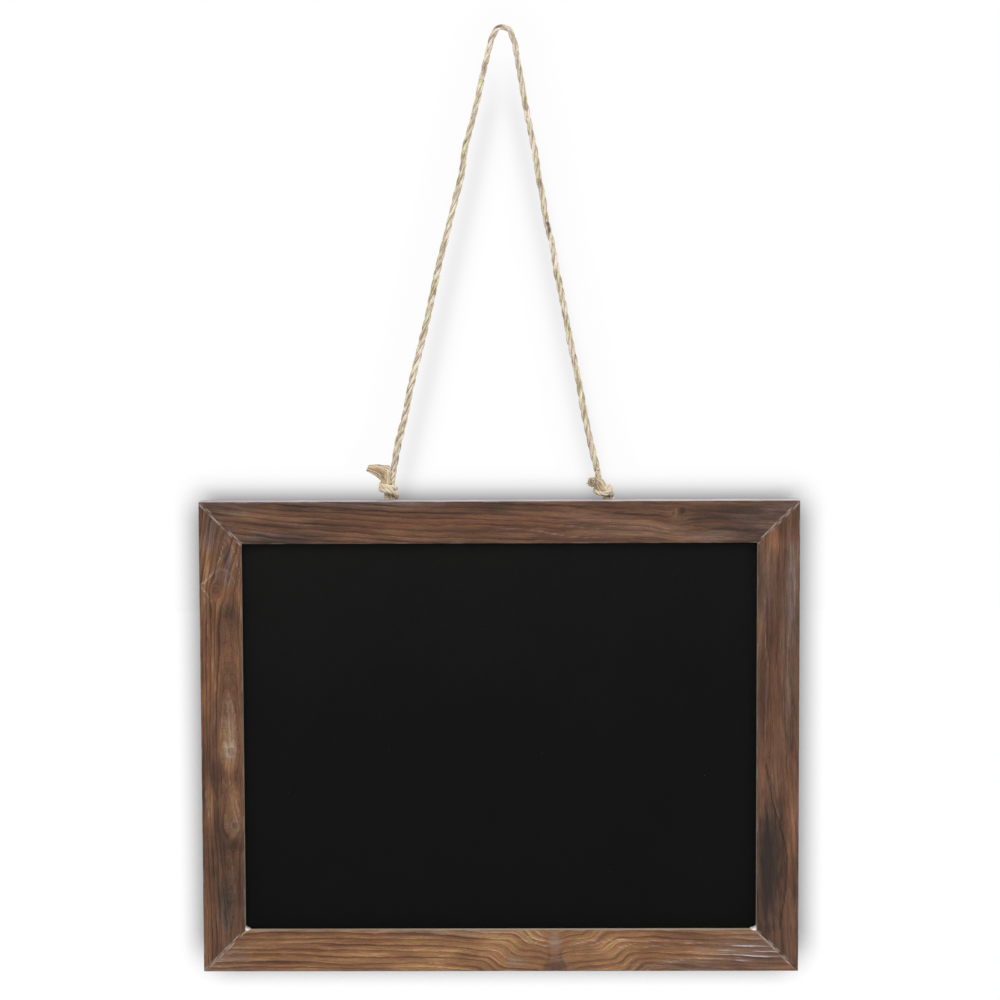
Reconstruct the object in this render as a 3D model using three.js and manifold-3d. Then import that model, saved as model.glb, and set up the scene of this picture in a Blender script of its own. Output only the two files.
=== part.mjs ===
// A framed chalkboard that hangs from one loop of twine.
// Millimetres, +X to the viewer's right, +Y to the wall, +Z up.
// The origin is the point where the twine bears on the hook.

import * as THREE from 'three';
import { mergeVertices } from 'three/addons/utils/BufferGeometryUtils.js';
import Module from 'manifold-3d';

const wasm = await Module();
wasm.setup();

// Frame
const FRAME_W = 406;
const FRAME_H = 322;
const FRAME_D = 19;
const FACE_W = 28.5;
const LIP_T = 6;
const RABBET_W = 7;
const ARRIS_R = 0.9;
const ARRIS_STEPS = 4;
const MITRE_GAP = 0.3;

// Clearance between two pieces that rest on each other or sit in each other
const SEAT_GAP = 0.3;

// Panel with the chalk surface
const PANEL_T = 3;
const PANEL_EDGE_GAP = 1;

// Thin steel points that hold the panel in the rabbet
const POINT_L = 15;
const POINT_W = 8;
const POINT_T = 0.8;
const POINT_BITE = 6.5;
const POINT_TIP_L = 3;
const POINT_TIP_W = 2;
const RAIL_POINT_PITCH = 120;
const STILE_POINT_PITCH = 130;

// V nails across the back of each mitre
const VNAIL_LEG = 5;
const VNAIL_T = 0.8;
const VNAIL_DEPTH = 8;
const VNAIL_HALF_ANGLE = THREE.MathUtils.degToRad(34);
const VNAIL_OUTER_AT = 5.5;
const VNAIL_INNER_AT = 13;

// Screw eyes in the back of the top rail
const EYE_SPACING = 148.5;
const EYE_DROP = 8.5;
const EYE_WIRE_R = 1.1;
const EYE_RING_R = 4.2;
const EYE_NECK = 1.2;
const EYE_SHANK_R = 1.35;
const EYE_BITE = 12;
const EYE_TIP_L = 5;
const EYE_WIRE_SIDES = 10;
const EYE_RING_STEPS = 28;
const EYE_SHANK_SIDES = 16;

// Twine, its hang on the hook and its two knots
const TWINE_R = 2.15;
const TWINE_SIDES = 10;
const TWINE_STEPS_PER_POINT = 2;
const KNOT_TWINE_R = 1.5;
const KNOT_SIDES = 8;
const KNOT_STEPS_PER_POINT = 3;
const TAG_R = 2.7;
const TAG_OPEN_L = 9;
const EYE_LOOP_TURNS = [0, 0.25, 0.5, 0.75, 1];
const BOARD_DROP = 317;
const BOARD_SHIFT = -3.4;

// The bend over the hook: distance to the side, distance below the top of the bend
const BEND = [[0, 0], [2.5, 0.55], [4.7, 2.15], [6.3, 5.65], [7.6, 8.75]];

// Each leg from the bend to its knot: fraction of the way down, distance to the side
const LEFT_LEG = [
  [0.07, -0.5], [0.14, -0.2], [0.21, -0.7], [0.25, -1.1], [0.31, 0.5], [0.38, 0],
  [0.45, -0.4], [0.52, -0.9], [0.59, -0.6], [0.66, -0.5], [0.73, -0.9], [0.8, -1.3],
  [0.87, -0.6], [0.94, -1],
];
const RIGHT_LEG = [
  [0.07, -0.2], [0.14, -0.7], [0.21, -0.6], [0.275, -0.6], [0.32, -1.3], [0.36, -1],
  [0.41, -1.9], [0.47, -1], [0.53, -1.3], [0.61, -1.2], [0.7, -1.4], [0.79, -1],
  [0.87, -1.3], [0.94, -0.9],
];

// Knots: the route before and after the loop through the eye, in twine thicknesses.
// Across and back are from the middle of the ring, up is from the board's top edge.
const LEFT_KNOT = {
  standing: [
    [0.53, 0.07, 6.5], [0.43, 0.27, 5.33], [0.3, 0.63, 4.17], [0.23, 0.87, 3],
    [0.27, 0.9, 1.83], [0.47, 0.73, 0.67],
  ],
  tail: [
    [-0.95, 0.67, 1], [-0.93, 0.93, 2], [-1.03, 1.02, 3], [-1.47, 0.73, 3.77],
    [-2.13, 0.13, 3.77], [-2.4, -0.63, 3.07], [-1.53, -1.43, 2.57], [-0.4, -1.7, 2.23],
    [0.73, -1.53, 1.9], [1.53, -0.8, 1.63], [1.73, 0.27, 1.57], [1.53, 1.33, 1.5],
    [0.67, 2.03, 1.5], [-0.47, 2.13, 1.43], [-1.67, 1.8, 1.3], [-2.27, 0.77, 1.07],
    [-2.1, -0.33, 1.03], [-1.33, -0.73, 1.27], [-0.6, -0.5, 1.9], [-0.47, -0.4, 2.83],
    [-0.57, -0.43, 3.77], [-0.77, -0.57, 4.7], [-1.2, -0.83, 5.53], [-1.93, -1.03, 6.2],
    [-2.83, -1.13, 6.67], [-3.77, -1.2, 6.9], [-4.67, -1.2, 6.97],
  ],
  standingSide: 1,
};
const RIGHT_KNOT = {
  standing: [
    [-2.2, 0.07, 6.4], [-1.87, 0.27, 5.3], [-1.47, 0.6, 4.1], [-1.17, 0.87, 2.9],
    [-1.03, 0.9, 1.73], [-1, 0.57, 0.67],
  ],
  tail: [
    [0.67, 0.67, 0.8], [0.3, 0.9, 1.77], [0.4, 0.73, 2.57], [0.9, 0.27, 2.9],
    [1.43, -0.5, 2.67], [1.4, -1.37, 2], [0.6, -1.8, 1.37], [-0.53, -1.77, 1.07],
    [-1.67, -1.47, 1.3], [-2.5, -0.77, 1.67], [-2.77, 0.3, 1.87], [-2.43, 1.33, 1.87],
    [-1.53, 2, 1.7], [-0.33, 2.13, 1.43], [0.97, 2, 1.17], [1.87, 1.23, 0.93],
    [2.05, 0.4, 0.87], [1.78, -0.3, 0.83], [1.2, -0.63, 0.9], [0.5, -0.53, 1.2],
    [-0.17, -0.47, 1.9], [-0.5, -0.43, 2.9], [-0.97, -0.57, 3.77], [-1.8, -0.83, 4.37],
    [-2.8, -1.03, 4.53], [-3.87, -1.2, 4.3],
  ],
  standingSide: -1,
};

// Extra length that carries a cutter past the face it opens
const CUT_PAST = 1;

// Corners closer than this are one corner
const WELD_DISTANCE = 1e-4;

// Measuring a knot's gap to itself: points for each curve point, and the stretch that is skipped
const GAP_SAMPLES_PER_POINT = 12;
const GAP_SKIP_L = 7.5;

// Surfaces
const WOOD = { color: 0x5b4132, roughness: 0.7, metalness: 0 };
const CHALK = { color: 0x171717, roughness: 0.9, metalness: 0 };
const STEEL = { color: 0x9a9a96, roughness: 0.4, metalness: 0.9 };
const JUTE = { color: 0xc2a878, roughness: 0.95, metalness: 0 };

// Levels and planes derived from the sizes above
const HALF_W = FRAME_W / 2;
const HALF_H = FRAME_H / 2;
const TOP_Z = -BOARD_DROP;
const MIDDLE_Z = TOP_Z - HALF_H;
const EYE_Z = TOP_Z - EYE_DROP;
const BACK_Y = -(EYE_RING_R + EYE_WIRE_R + EYE_NECK);
const FRONT_Y = BACK_Y - FRAME_D;
const PANEL_FRONT_Y = FRONT_Y + LIP_T + SEAT_GAP;
const PANEL_BACK_Y = PANEL_FRONT_Y + PANEL_T;
const POINT_Y = PANEL_BACK_Y + SEAT_GAP;
const RABBET_AT = FACE_W - RABBET_W;
const DEPTH_AXIS = new THREE.Vector3(0, 1, 0);

const toSolid = (geometry) => {
  const bare = geometry.clone();
  bare.deleteAttribute('normal');
  bare.deleteAttribute('uv');
  const merged = mergeVertices(bare, WELD_DISTANCE);
  return new wasm.Manifold(new wasm.Mesh({
    numProp: 3,
    vertProperties: new Float32Array(merged.attributes.position.array),
    triVerts: new Uint32Array(merged.index.array),
  }));
};

const toGeometry = (solid) => {
  const mesh = solid.getMesh();
  const geometry = new THREE.BufferGeometry();
  geometry.setAttribute('position', new THREE.BufferAttribute(mesh.vertProperties, 3));
  geometry.setIndex(new THREE.BufferAttribute(mesh.triVerts, 1));
  geometry.computeVertexNormals();
  return geometry;
};

const subtract = (solid, cutters) => cutters.reduce((rest, cutter) => rest.subtract(cutter), solid);

// A frame member's own axes are across its face, through its depth and along its length.
const memberMatrix = (corner, across) => {
  const along = new THREE.Vector3().crossVectors(across, DEPTH_AXIS);
  return new THREE.Matrix4().makeBasis(across, DEPTH_AXIS, along).setPosition(corner);
};

const moulding = (length) => {
  const shape = new THREE.Shape();
  shape.moveTo(ARRIS_R, 0);
  shape.lineTo(FACE_W - ARRIS_R, 0);
  shape.absarc(FACE_W - ARRIS_R, ARRIS_R, ARRIS_R, -Math.PI / 2, 0, false);
  shape.lineTo(FACE_W, LIP_T);
  shape.lineTo(RABBET_AT, LIP_T);
  shape.lineTo(RABBET_AT, FRAME_D);
  shape.lineTo(0, FRAME_D);
  shape.lineTo(0, ARRIS_R);
  shape.absarc(ARRIS_R, ARRIS_R, ARRIS_R, Math.PI, Math.PI * 1.5, false);
  return new THREE.ExtrudeGeometry(shape, {
    depth: length,
    bevelEnabled: false,
    curveSegments: ARRIS_STEPS,
  });
};

// The plan of a member with both mitres, each set back by half the gap
const mitrePlan = (length) => {
  const setBack = MITRE_GAP * Math.SQRT1_2;
  const inner = FACE_W + CUT_PAST;
  const shape = new THREE.Shape();
  shape.moveTo(setBack - CUT_PAST, -CUT_PAST);
  shape.lineTo(length + CUT_PAST - setBack, -CUT_PAST);
  shape.lineTo(length - inner - setBack, inner);
  shape.lineTo(inner + setBack, inner);
  const geometry = new THREE.ExtrudeGeometry(shape, {
    depth: FRAME_D + 2 * CUT_PAST,
    bevelEnabled: false,
  });
  geometry.translate(0, 0, -CUT_PAST);
  const along = new THREE.Vector3(0, 0, 1);
  const across = new THREE.Vector3(1, 0, 0);
  return geometry.applyMatrix4(new THREE.Matrix4().makeBasis(along, across, DEPTH_AXIS));
};

const mitredMember = (length, matrix) => {
  const solid = toSolid(moulding(length)).intersect(toSolid(mitrePlan(length)));
  return toSolid(toGeometry(solid).applyMatrix4(matrix));
};

// A point lies flat behind the panel with its tip in the rabbet wall.
const pointBlade = (at, clearance, matrix) => {
  const half = POINT_W / 2 + clearance;
  const start = RABBET_AT - POINT_BITE - clearance;
  const end = start + POINT_L + 2 * clearance;
  const shape = new THREE.Shape();
  shape.moveTo(start, at - POINT_TIP_W / 2 - clearance);
  shape.lineTo(start + POINT_TIP_L, at - half);
  shape.lineTo(end, at - half);
  shape.lineTo(end, at + half);
  shape.lineTo(start + POINT_TIP_L, at + half);
  shape.lineTo(start, at + POINT_TIP_W / 2 + clearance);
  const geometry = new THREE.ExtrudeGeometry(shape, {
    depth: POINT_T + 2 * clearance,
    bevelEnabled: false,
  });
  geometry.rotateX(Math.PI / 2);
  geometry.translate(0, POINT_Y - FRONT_Y + POINT_T + clearance, 0);
  return geometry.applyMatrix4(matrix);
};

// A V nail stands across the mitre, with its fold towards the opening.
const vNail = (at, clearance, matrix) => {
  const leg = (side) => {
    const geometry = new THREE.BoxGeometry(
      VNAIL_LEG + clearance * 2,
      VNAIL_DEPTH + clearance * 2,
      VNAIL_T + clearance * 2,
    );
    geometry.translate(-(VNAIL_LEG - VNAIL_T) / 2, FRAME_D - VNAIL_DEPTH / 2, 0);
    geometry.rotateY(side * VNAIL_HALF_ANGLE - Math.PI / 4);
    geometry.translate(at + VNAIL_LEG / 2, 0, at + VNAIL_LEG / 2);
    return toSolid(geometry);
  };
  return toGeometry(leg(-1).add(leg(1))).applyMatrix4(matrix);
};

const eyeShank = (clearance) => {
  const radius = EYE_SHANK_R + clearance;
  const tipY = BACK_Y - EYE_BITE - clearance;
  const endY = clearance > 0 ? BACK_Y + CUT_PAST : -EYE_RING_R;
  const profile = [
    new THREE.Vector2(0, tipY),
    new THREE.Vector2(radius, tipY + EYE_TIP_L),
    new THREE.Vector2(radius, endY),
    new THREE.Vector2(0, endY),
  ];
  return new THREE.LatheGeometry(profile, EYE_SHANK_SIDES);
};

const eyeRing = () => {
  const ring = new THREE.TorusGeometry(EYE_RING_R, EYE_WIRE_R, EYE_WIRE_SIDES, EYE_RING_STEPS);
  return ring.rotateY(Math.PI / 2);
};

// A curve whose steps follow its points, so that tight bends get short steps
class PointPacedCurve extends THREE.CatmullRomCurve3 {
  getUtoTmapping(u) {
    return u;
  }
}

// A closed tube whose radius depends on the distance left to its far end
const cordTube = (curve, radiusAt, sides, stepsPerPoint) => {
  const steps = (curve.points.length - 1) * stepsPerPoint;
  const travelled = curve.getLengths(steps);
  const geometry = new THREE.TubeGeometry(curve, steps, 1, sides, false);
  const position = geometry.attributes.position;
  const ringSize = sides + 1;
  const vertex = new THREE.Vector3();
  for (let i = 0; i <= steps; i += 1) {
    const centre = curve.getPoint(i / steps);
    const radius = radiusAt(travelled[steps] - travelled[i]);
    for (let k = i * ringSize; k < (i + 1) * ringSize; k += 1) {
      vertex.fromBufferAttribute(position, k).sub(centre).multiplyScalar(radius).add(centre);
      position.setXYZ(k, vertex.x, vertex.y, vertex.z);
    }
  }
  const index = [...geometry.index.array];
  const last = steps * ringSize;
  for (let k = 1; k < sides - 1; k += 1) {
    index.push(0, k, k + 1);
    index.push(last, last + k + 1, last + k);
  }
  geometry.setIndex(index);
  return toGeometry(toSolid(geometry));
};

// Twine pulled into a knot is even, and its loose tag opens out towards the cut end.
const knotRadius = (toEnd) => {
  const opened = THREE.MathUtils.smoothstep(TAG_OPEN_L - toEnd, 0, TAG_OPEN_L);
  return THREE.MathUtils.lerp(KNOT_TWINE_R, TAG_R, opened);
};

// The loop passes through the ring and under its top wire as a half circle.
const loopThroughEye = (side) => {
  const radius = EYE_WIRE_R + SEAT_GAP + KNOT_TWINE_R;
  return EYE_LOOP_TURNS.map((turn) => new THREE.Vector3(
    side * radius * Math.cos(turn * Math.PI),
    0,
    EYE_RING_R - radius * Math.sin(turn * Math.PI),
  ));
};

const knotCurve = (knot, eyeX) => {
  const thickness = KNOT_TWINE_R * 2;
  const place = ([x, y, z]) => new THREE.Vector3(
    x * thickness,
    y * thickness,
    z * thickness + EYE_DROP,
  );
  const points = [
    ...knot.standing.map(place),
    ...loopThroughEye(knot.standingSide),
    ...knot.tail.map(place),
  ];
  return new PointPacedCurve(points.map((p) => p.add(new THREE.Vector3(eyeX, 0, EYE_Z))));
};

const LEFT_EYE_X = BOARD_SHIFT - EYE_SPACING / 2;
const RIGHT_EYE_X = BOARD_SHIFT + EYE_SPACING / 2;
const leftKnot = knotCurve(LEFT_KNOT, LEFT_EYE_X);
const rightKnot = knotCurve(RIGHT_KNOT, RIGHT_EYE_X);

// The twine stops one gap before the standing end of a knot.
const twineEnd = (curve) => {
  const back = curve.getTangent(0).multiplyScalar(-SEAT_GAP);
  return curve.getPoint(0).add(back);
};

const bendPoint = (side) => ([across, below]) => new THREE.Vector3(
  side * across,
  0,
  TWINE_R - below,
);

const legPoints = (leg, from, to) => leg.map(([fraction, bow]) => {
  const point = from.clone().lerp(to, fraction);
  point.x += bow;
  return point;
});

const twineCurve = () => {
  const leftBend = BEND.map(bendPoint(-1)).reverse();
  const rightBend = BEND.slice(1).map(bendPoint(1));
  const leftEnd = twineEnd(leftKnot);
  const rightEnd = twineEnd(rightKnot);
  return new PointPacedCurve([
    leftEnd,
    ...legPoints(LEFT_LEG, leftBend[0], leftEnd).reverse(),
    ...leftBend,
    ...rightBend,
    ...legPoints(RIGHT_LEG, rightBend[rightBend.length - 1], rightEnd),
    rightEnd,
  ]);
};

// The least gap that a knot leaves to itself, measured between points along it
const leastSelfGap = (curve) => {
  const samples = curve.points.length * GAP_SAMPLES_PER_POINT;
  const travelled = curve.getLengths(samples);
  const points = [];
  const radii = [];
  for (let i = 0; i <= samples; i += 1) {
    points.push(curve.getPoint(i / samples));
    radii.push(knotRadius(travelled[samples] - travelled[i]));
  }
  let least = Infinity;
  for (let i = 0; i <= samples; i += 1) {
    for (let j = i + 1; j <= samples; j += 1) {
      const apart = points[i].distanceTo(points[j]) - radii[i] - radii[j];
      if (travelled[j] - travelled[i] > GAP_SKIP_L) least = Math.min(least, apart);
    }
  }
  return least;
};

console.log('left knot, least gap to itself in mm', leastSelfGap(leftKnot).toFixed(2));
console.log('right knot, least gap to itself in mm', leastSelfGap(rightKnot).toFixed(2));

const LEFT_X = BOARD_SHIFT - HALF_W;
const RIGHT_X = BOARD_SHIFT + HALF_W;
const BOTTOM_Z = TOP_Z - FRAME_H;

// The four members in order round the frame, each starting at its own corner
const MEMBERS = [
  {
    name: 'top_rail',
    corner: 'top_left',
    length: FRAME_W,
    pointPitch: RAIL_POINT_PITCH,
    pointSteps: [-1, 0, 1],
    matrix: memberMatrix(
      new THREE.Vector3(LEFT_X, FRONT_Y, TOP_Z),
      new THREE.Vector3(0, 0, -1),
    ),
  },
  {
    name: 'right_stile',
    corner: 'top_right',
    length: FRAME_H,
    pointPitch: STILE_POINT_PITCH,
    pointSteps: [-0.5, 0.5],
    matrix: memberMatrix(
      new THREE.Vector3(RIGHT_X, FRONT_Y, TOP_Z),
      new THREE.Vector3(-1, 0, 0),
    ),
  },
  {
    name: 'bottom_rail',
    corner: 'bottom_right',
    length: FRAME_W,
    pointPitch: RAIL_POINT_PITCH,
    pointSteps: [-1, 0, 1],
    matrix: memberMatrix(
      new THREE.Vector3(RIGHT_X, FRONT_Y, BOTTOM_Z),
      new THREE.Vector3(0, 0, 1),
    ),
  },
  {
    name: 'left_stile',
    corner: 'bottom_left',
    length: FRAME_H,
    pointPitch: STILE_POINT_PITCH,
    pointSteps: [-0.5, 0.5],
    matrix: memberMatrix(
      new THREE.Vector3(LEFT_X, FRONT_Y, BOTTOM_Z),
      new THREE.Vector3(1, 0, 0),
    ),
  },
];

const board = new THREE.Group();
board.name = 'hanging_chalkboard';

const addPiece = (name, geometry, surface) => {
  const mesh = new THREE.Mesh(geometry, new THREE.MeshStandardMaterial(surface));
  mesh.name = name;
  board.add(mesh);
};

const nailCutters = (member) => [VNAIL_OUTER_AT, VNAIL_INNER_AT].map(
  (at) => toSolid(vNail(at, SEAT_GAP, member.matrix)),
);

const pointPlaces = (member) => member.pointSteps.map(
  (step) => member.length / 2 + step * member.pointPitch,
);

MEMBERS.forEach((member, index) => {
  const next = MEMBERS[(index + 1) % MEMBERS.length];
  const cutters = [
    ...nailCutters(member),
    ...nailCutters(next),
    ...pointPlaces(member).map((at) => toSolid(pointBlade(at, SEAT_GAP, member.matrix))),
  ];
  if (member.name === 'top_rail') {
    for (const x of [LEFT_EYE_X, RIGHT_EYE_X]) {
      cutters.push(toSolid(eyeShank(SEAT_GAP).translate(x, 0, EYE_Z)));
    }
  }
  const solid = subtract(mitredMember(member.length, member.matrix), cutters);
  addPiece(member.name, toGeometry(solid), WOOD);
});

const openingW = FRAME_W - 2 * RABBET_AT - 2 * PANEL_EDGE_GAP;
const openingH = FRAME_H - 2 * RABBET_AT - 2 * PANEL_EDGE_GAP;
const panel = new THREE.BoxGeometry(openingW, PANEL_T, openingH);
panel.translate(BOARD_SHIFT, (PANEL_FRONT_Y + PANEL_BACK_Y) / 2, MIDDLE_Z);
addPiece('chalkboard_panel', panel, CHALK);

MEMBERS.forEach((member) => {
  const side = member.name.split('_')[0];
  pointPlaces(member).forEach((at, index) => {
    const blade = pointBlade(at, 0, member.matrix);
    addPiece(`${side}_point_${index + 1}`, blade, STEEL);
  });
});

MEMBERS.forEach((member) => {
  const places = { outer: VNAIL_OUTER_AT, inner: VNAIL_INNER_AT };
  for (const [place, at] of Object.entries(places)) {
    const nail = vNail(at, 0, member.matrix);
    addPiece(`${member.corner}_${place}_vnail`, nail, STEEL);
  }
});

for (const [name, x] of [['left_screw_eye', LEFT_EYE_X], ['right_screw_eye', RIGHT_EYE_X]]) {
  const solid = toSolid(eyeRing()).add(toSolid(eyeShank(0)));
  const eye = toGeometry(solid).translate(x, 0, EYE_Z);
  addPiece(name, eye, STEEL);
}

const twine = cordTube(twineCurve(), () => TWINE_R, TWINE_SIDES, TWINE_STEPS_PER_POINT);
addPiece('twine', twine, JUTE);
for (const [name, curve] of [['left_knot', leftKnot], ['right_knot', rightKnot]]) {
  const tube = cordTube(curve, knotRadius, KNOT_SIDES, KNOT_STEPS_PER_POINT);
  addPiece(name, tube, JUTE);
}

export default board;
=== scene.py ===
import math
import random

import bpy
import numpy as np
from mathutils import Matrix, Vector, noise


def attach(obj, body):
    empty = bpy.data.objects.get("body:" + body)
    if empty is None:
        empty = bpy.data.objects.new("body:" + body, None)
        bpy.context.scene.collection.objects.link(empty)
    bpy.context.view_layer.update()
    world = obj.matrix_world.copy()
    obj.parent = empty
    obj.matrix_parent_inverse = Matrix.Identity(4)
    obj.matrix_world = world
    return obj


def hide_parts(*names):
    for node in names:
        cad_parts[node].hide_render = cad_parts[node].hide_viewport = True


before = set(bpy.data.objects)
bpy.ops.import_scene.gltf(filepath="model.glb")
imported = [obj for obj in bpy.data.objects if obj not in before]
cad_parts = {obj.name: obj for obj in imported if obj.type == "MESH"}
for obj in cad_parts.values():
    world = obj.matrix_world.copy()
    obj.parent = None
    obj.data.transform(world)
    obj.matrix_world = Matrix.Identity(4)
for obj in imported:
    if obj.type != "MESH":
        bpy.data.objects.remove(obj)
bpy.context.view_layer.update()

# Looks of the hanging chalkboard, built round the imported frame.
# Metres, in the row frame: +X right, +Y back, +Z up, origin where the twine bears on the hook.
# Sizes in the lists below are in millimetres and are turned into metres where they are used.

MM = 0.001
SEED = 7
random.seed(SEED)

# Sizes shared with the CAD source
FRAME_W = 406.0
FRAME_H = 322.0
FRAME_D = 19.0
FACE_W = 28.5
LIP_T = 6.0
RABBET_AT = 21.5
MITRE_SET_BACK = 0.3 * math.sqrt(0.5)
BOARD_SHIFT = -3.4
TOP_Z = -317.0
BACK_Y = -6.5
FRONT_Y = BACK_Y - FRAME_D
EYE_HALF_SPACING = 148.5 / 2
EYE_DROP = 8.5
EYE_WIRE_R = 1.1
EYE_RING_R = 4.2
EYE_SHANK_R = 1.35
EYE_BITE = 12.0
EYE_TIP_L = 5.0
EYE_LOOP_TURNS = (0, 0.25, 0.5, 0.75, 1)
EYE_Z = TOP_Z - EYE_DROP
LEFT_EYE_X = BOARD_SHIFT - EYE_HALF_SPACING
RIGHT_EYE_X = BOARD_SHIFT + EYE_HALF_SPACING
TWINE_R = 2.15
KNOT_TWINE_R = 1.5
SEAT_GAP = 0.3

# The free twine's route, the same lists as in the CAD source
BEND = [(0, 0), (2.5, 0.55), (4.7, 2.15), (6.3, 5.65), (7.6, 8.75)]
LEFT_LEG = [
    (0.07, -0.5), (0.14, -0.2), (0.21, -0.7), (0.25, -1.1), (0.31, 0.5), (0.38, 0),
    (0.45, -0.4), (0.52, -0.9), (0.59, -0.6), (0.66, -0.5), (0.73, -0.9), (0.8, -1.3),
    (0.87, -0.6), (0.94, -1),
]
RIGHT_LEG = [
    (0.07, -0.2), (0.14, -0.7), (0.21, -0.6), (0.275, -0.6), (0.32, -1.3), (0.36, -1),
    (0.41, -1.9), (0.47, -1), (0.53, -1.3), (0.61, -1.2), (0.7, -1.4), (0.79, -1),
    (0.87, -1.3), (0.94, -0.9),
]

# Each knot from the standing strand round the eye and back, and then the loose end as a bundle.
# Places are in strand thicknesses from the point on the rail above the eye.
# A ring of the bundle is its middle, half its width and half its depth.
# side: which way the loop goes through the eye. paleness makes the knot's twine and the loose
# end paler, a painted highlight; gold makes the loose end darker and golden, a painted shade;
# and end_shade paints shade on the cut ends.
LEFT_KNOT = {
    "standing": [
        (0.66, 0.07, 6.5), (0.5, 0.2, 5.33), (0.4, 0.5, 4.2), (0.33, 0.8, 3),
        (0.25, 0.87, 1.83), (0.15, 0.7, 0.67),
    ],
    "tail": [
        (-0.9, 0.67, 1), (-0.9, 0.9, 1.8), (-1.0, 0.95, 2.7), (-1.45, 0.6, 3.35),
        (-2.0, -0.1, 3.4), (-2.0, -0.85, 3.2), (-1.25, -1.42, 3.0), (-0.3, -1.6, 2.8),
        (0.5, -1.35, 2.62), (0.95, -0.6, 2.5), (1.0, 0.4, 2.45), (0.7, 1.4, 2.5),
        (-0.1, 1.9, 2.55), (-1.2, 1.75, 2.5), (-2.0, 0.9, 2.4), (-2.25, -0.1, 2.3),
        (-1.75, -1.15, 2.22), (-0.7, -1.7, 2.05), (0.3, -1.6, 1.75), (1.0, -1.0, 1.3),
        (1.25, 0.0, 0.8), (1.15, 1.2, 0.5), (0.3, 1.9, 1.0), (-0.7, 1.75, 1.6),
        (-1.3, 0.8, 2.0), (-1.1, -0.1, 2.3), (-0.8, -0.5, 2.9), (-0.85, -0.55, 3.5),
    ],
    "tag": [
        ((-0.95, -0.5, 2.2), (0.5, 0, 0), (0, 0.5, 0)),
        ((-1.0, -0.6, 3.5), (0.85, 0, 0.1), (0, 0.6, 0)),
        ((-1.0, -0.75, 5.75), (1.0, 0, 2.2), (0, 0.65, 0)),
        ((-1.85, -0.9, 6.15), (0.6, 0, 1.8), (0, 0.7, 0)),
        ((-3.4, -1.05, 6.75), (0.42, 0, 1.3), (0, 0.72, 0)),
        ((-4.9, -1.2, 7.1), (0.36, 0, 0.8), (0, 0.72, 0)),
    ],
    "side": 1,
    "end_shade": 0.1,
    "painted_paleness": 0.95,
    "gold_shade": 0.0,
}
RIGHT_KNOT = {
    "standing": [
        (-2.4, 0.07, 6.4), (-2.2, 0.3, 5.3), (-1.95, 0.6, 4.2), (-1.5, 0.85, 3.0),
        (-0.9, 0.87, 1.8), (-0.4, 0.6, 0.67),
    ],
    "tail": [
        (0.6, 0.67, 0.8), (0.15, 0.92, 1.5), (0.0, 0.75, 2.2), (0.3, 0.15, 2.65),
        (0.5, -0.6, 2.5), (0.35, -1.35, 1.9), (-0.45, -1.75, 1.3), (-1.45, -1.65, 1.2),
        (-2.3, -1.25, 1.42), (-2.82, -0.5, 1.68), (-2.82, 0.4, 1.8), (-2.42, 1.4, 1.75),
        (-1.5, 2.0, 1.6), (-0.35, 2.05, 1.35), (0.55, 1.5, 1.15), (0.9, 0.5, 1.0),
        (0.8, -0.45, 1.05), (0.4, -0.95, 1.45), (-0.25, -0.9, 2.1), (-0.75, -0.7, 2.75),
        (-1.15, -0.75, 2.9),
    ],
    "tag": [
        ((-0.75, -0.7, 1.7), (0.6, 0, 0.3), (0, 0.5, 0)),
        ((-1.3, -0.85, 2.6), (1.0, 0, 0.75), (0, 0.65, 0)),
        ((-1.95, -1.05, 3.3), (0.85, 0, 1.2), (-0.12, 0.75, 0)),
        ((-2.65, -1.25, 3.72), (0.32, 0, 1.28), (-0.4, 0.85, 0)),
        ((-3.3, -1.6, 3.85), (0.1, 0, 1.18), (-0.7, 0.85, 0)),
        ((-3.9, -1.95, 3.82), (0.04, 0, 1.12), (-0.82, 0.72, 0)),
    ],
    "side": -1,
    "end_shade": 0.35,
    "painted_paleness": 0.75,
    "gold_shade": 0.05,
}


# Camera, fitted to the four outer corners of the frame in the photograph

CAMERA_TARGET = Vector((-2.65, FRONT_Y, -316.1)) * MM
CAMERA_DISTANCE = 1.7
CAMERA_AZIMUTH = math.radians(-0.613)
CAMERA_ELEVATION = math.radians(4.109)
CAMERA_ROLL = math.radians(-0.22)
CAMERA_LENS = 90.82


def make_camera():
    data = bpy.data.cameras.new("camera")
    data.sensor_width = 36
    data.lens = CAMERA_LENS
    data.clip_start = 0.05
    data.clip_end = 50
    camera = bpy.data.objects.new("camera", data)
    bpy.context.scene.collection.objects.link(camera)
    back = Vector((
        -math.sin(CAMERA_AZIMUTH) * math.cos(CAMERA_ELEVATION),
        -math.cos(CAMERA_AZIMUTH) * math.cos(CAMERA_ELEVATION),
        math.sin(CAMERA_ELEVATION),
    ))
    right = (-back).cross(Vector((0, 0, 1))).normalized()
    up = right.cross(-back)
    turned_right = right * math.cos(CAMERA_ROLL) + up * math.sin(CAMERA_ROLL)
    turned_up = up * math.cos(CAMERA_ROLL) - right * math.sin(CAMERA_ROLL)
    place = CAMERA_TARGET + back * CAMERA_DISTANCE
    basis = Matrix((turned_right, turned_up, back)).transposed()
    camera.matrix_world = Matrix.Translation(place) @ basis.to_4x4()
    bpy.context.scene.camera = camera


make_camera()


# Mesh and curve helpers

def new_piece(name, verts, faces, material, body, smooth=True):
    mesh = bpy.data.meshes.new(name)
    mesh.from_pydata([tuple(v) for v in verts], [], faces)
    mesh.validate()
    mesh.update()
    mesh.materials.append(material)
    if smooth:
        mesh.polygons.foreach_set("use_smooth", [True] * len(mesh.polygons))
    piece = bpy.data.objects.new(name, mesh)
    bpy.context.scene.collection.objects.link(piece)
    if body:
        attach(piece, body)
    return piece


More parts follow.
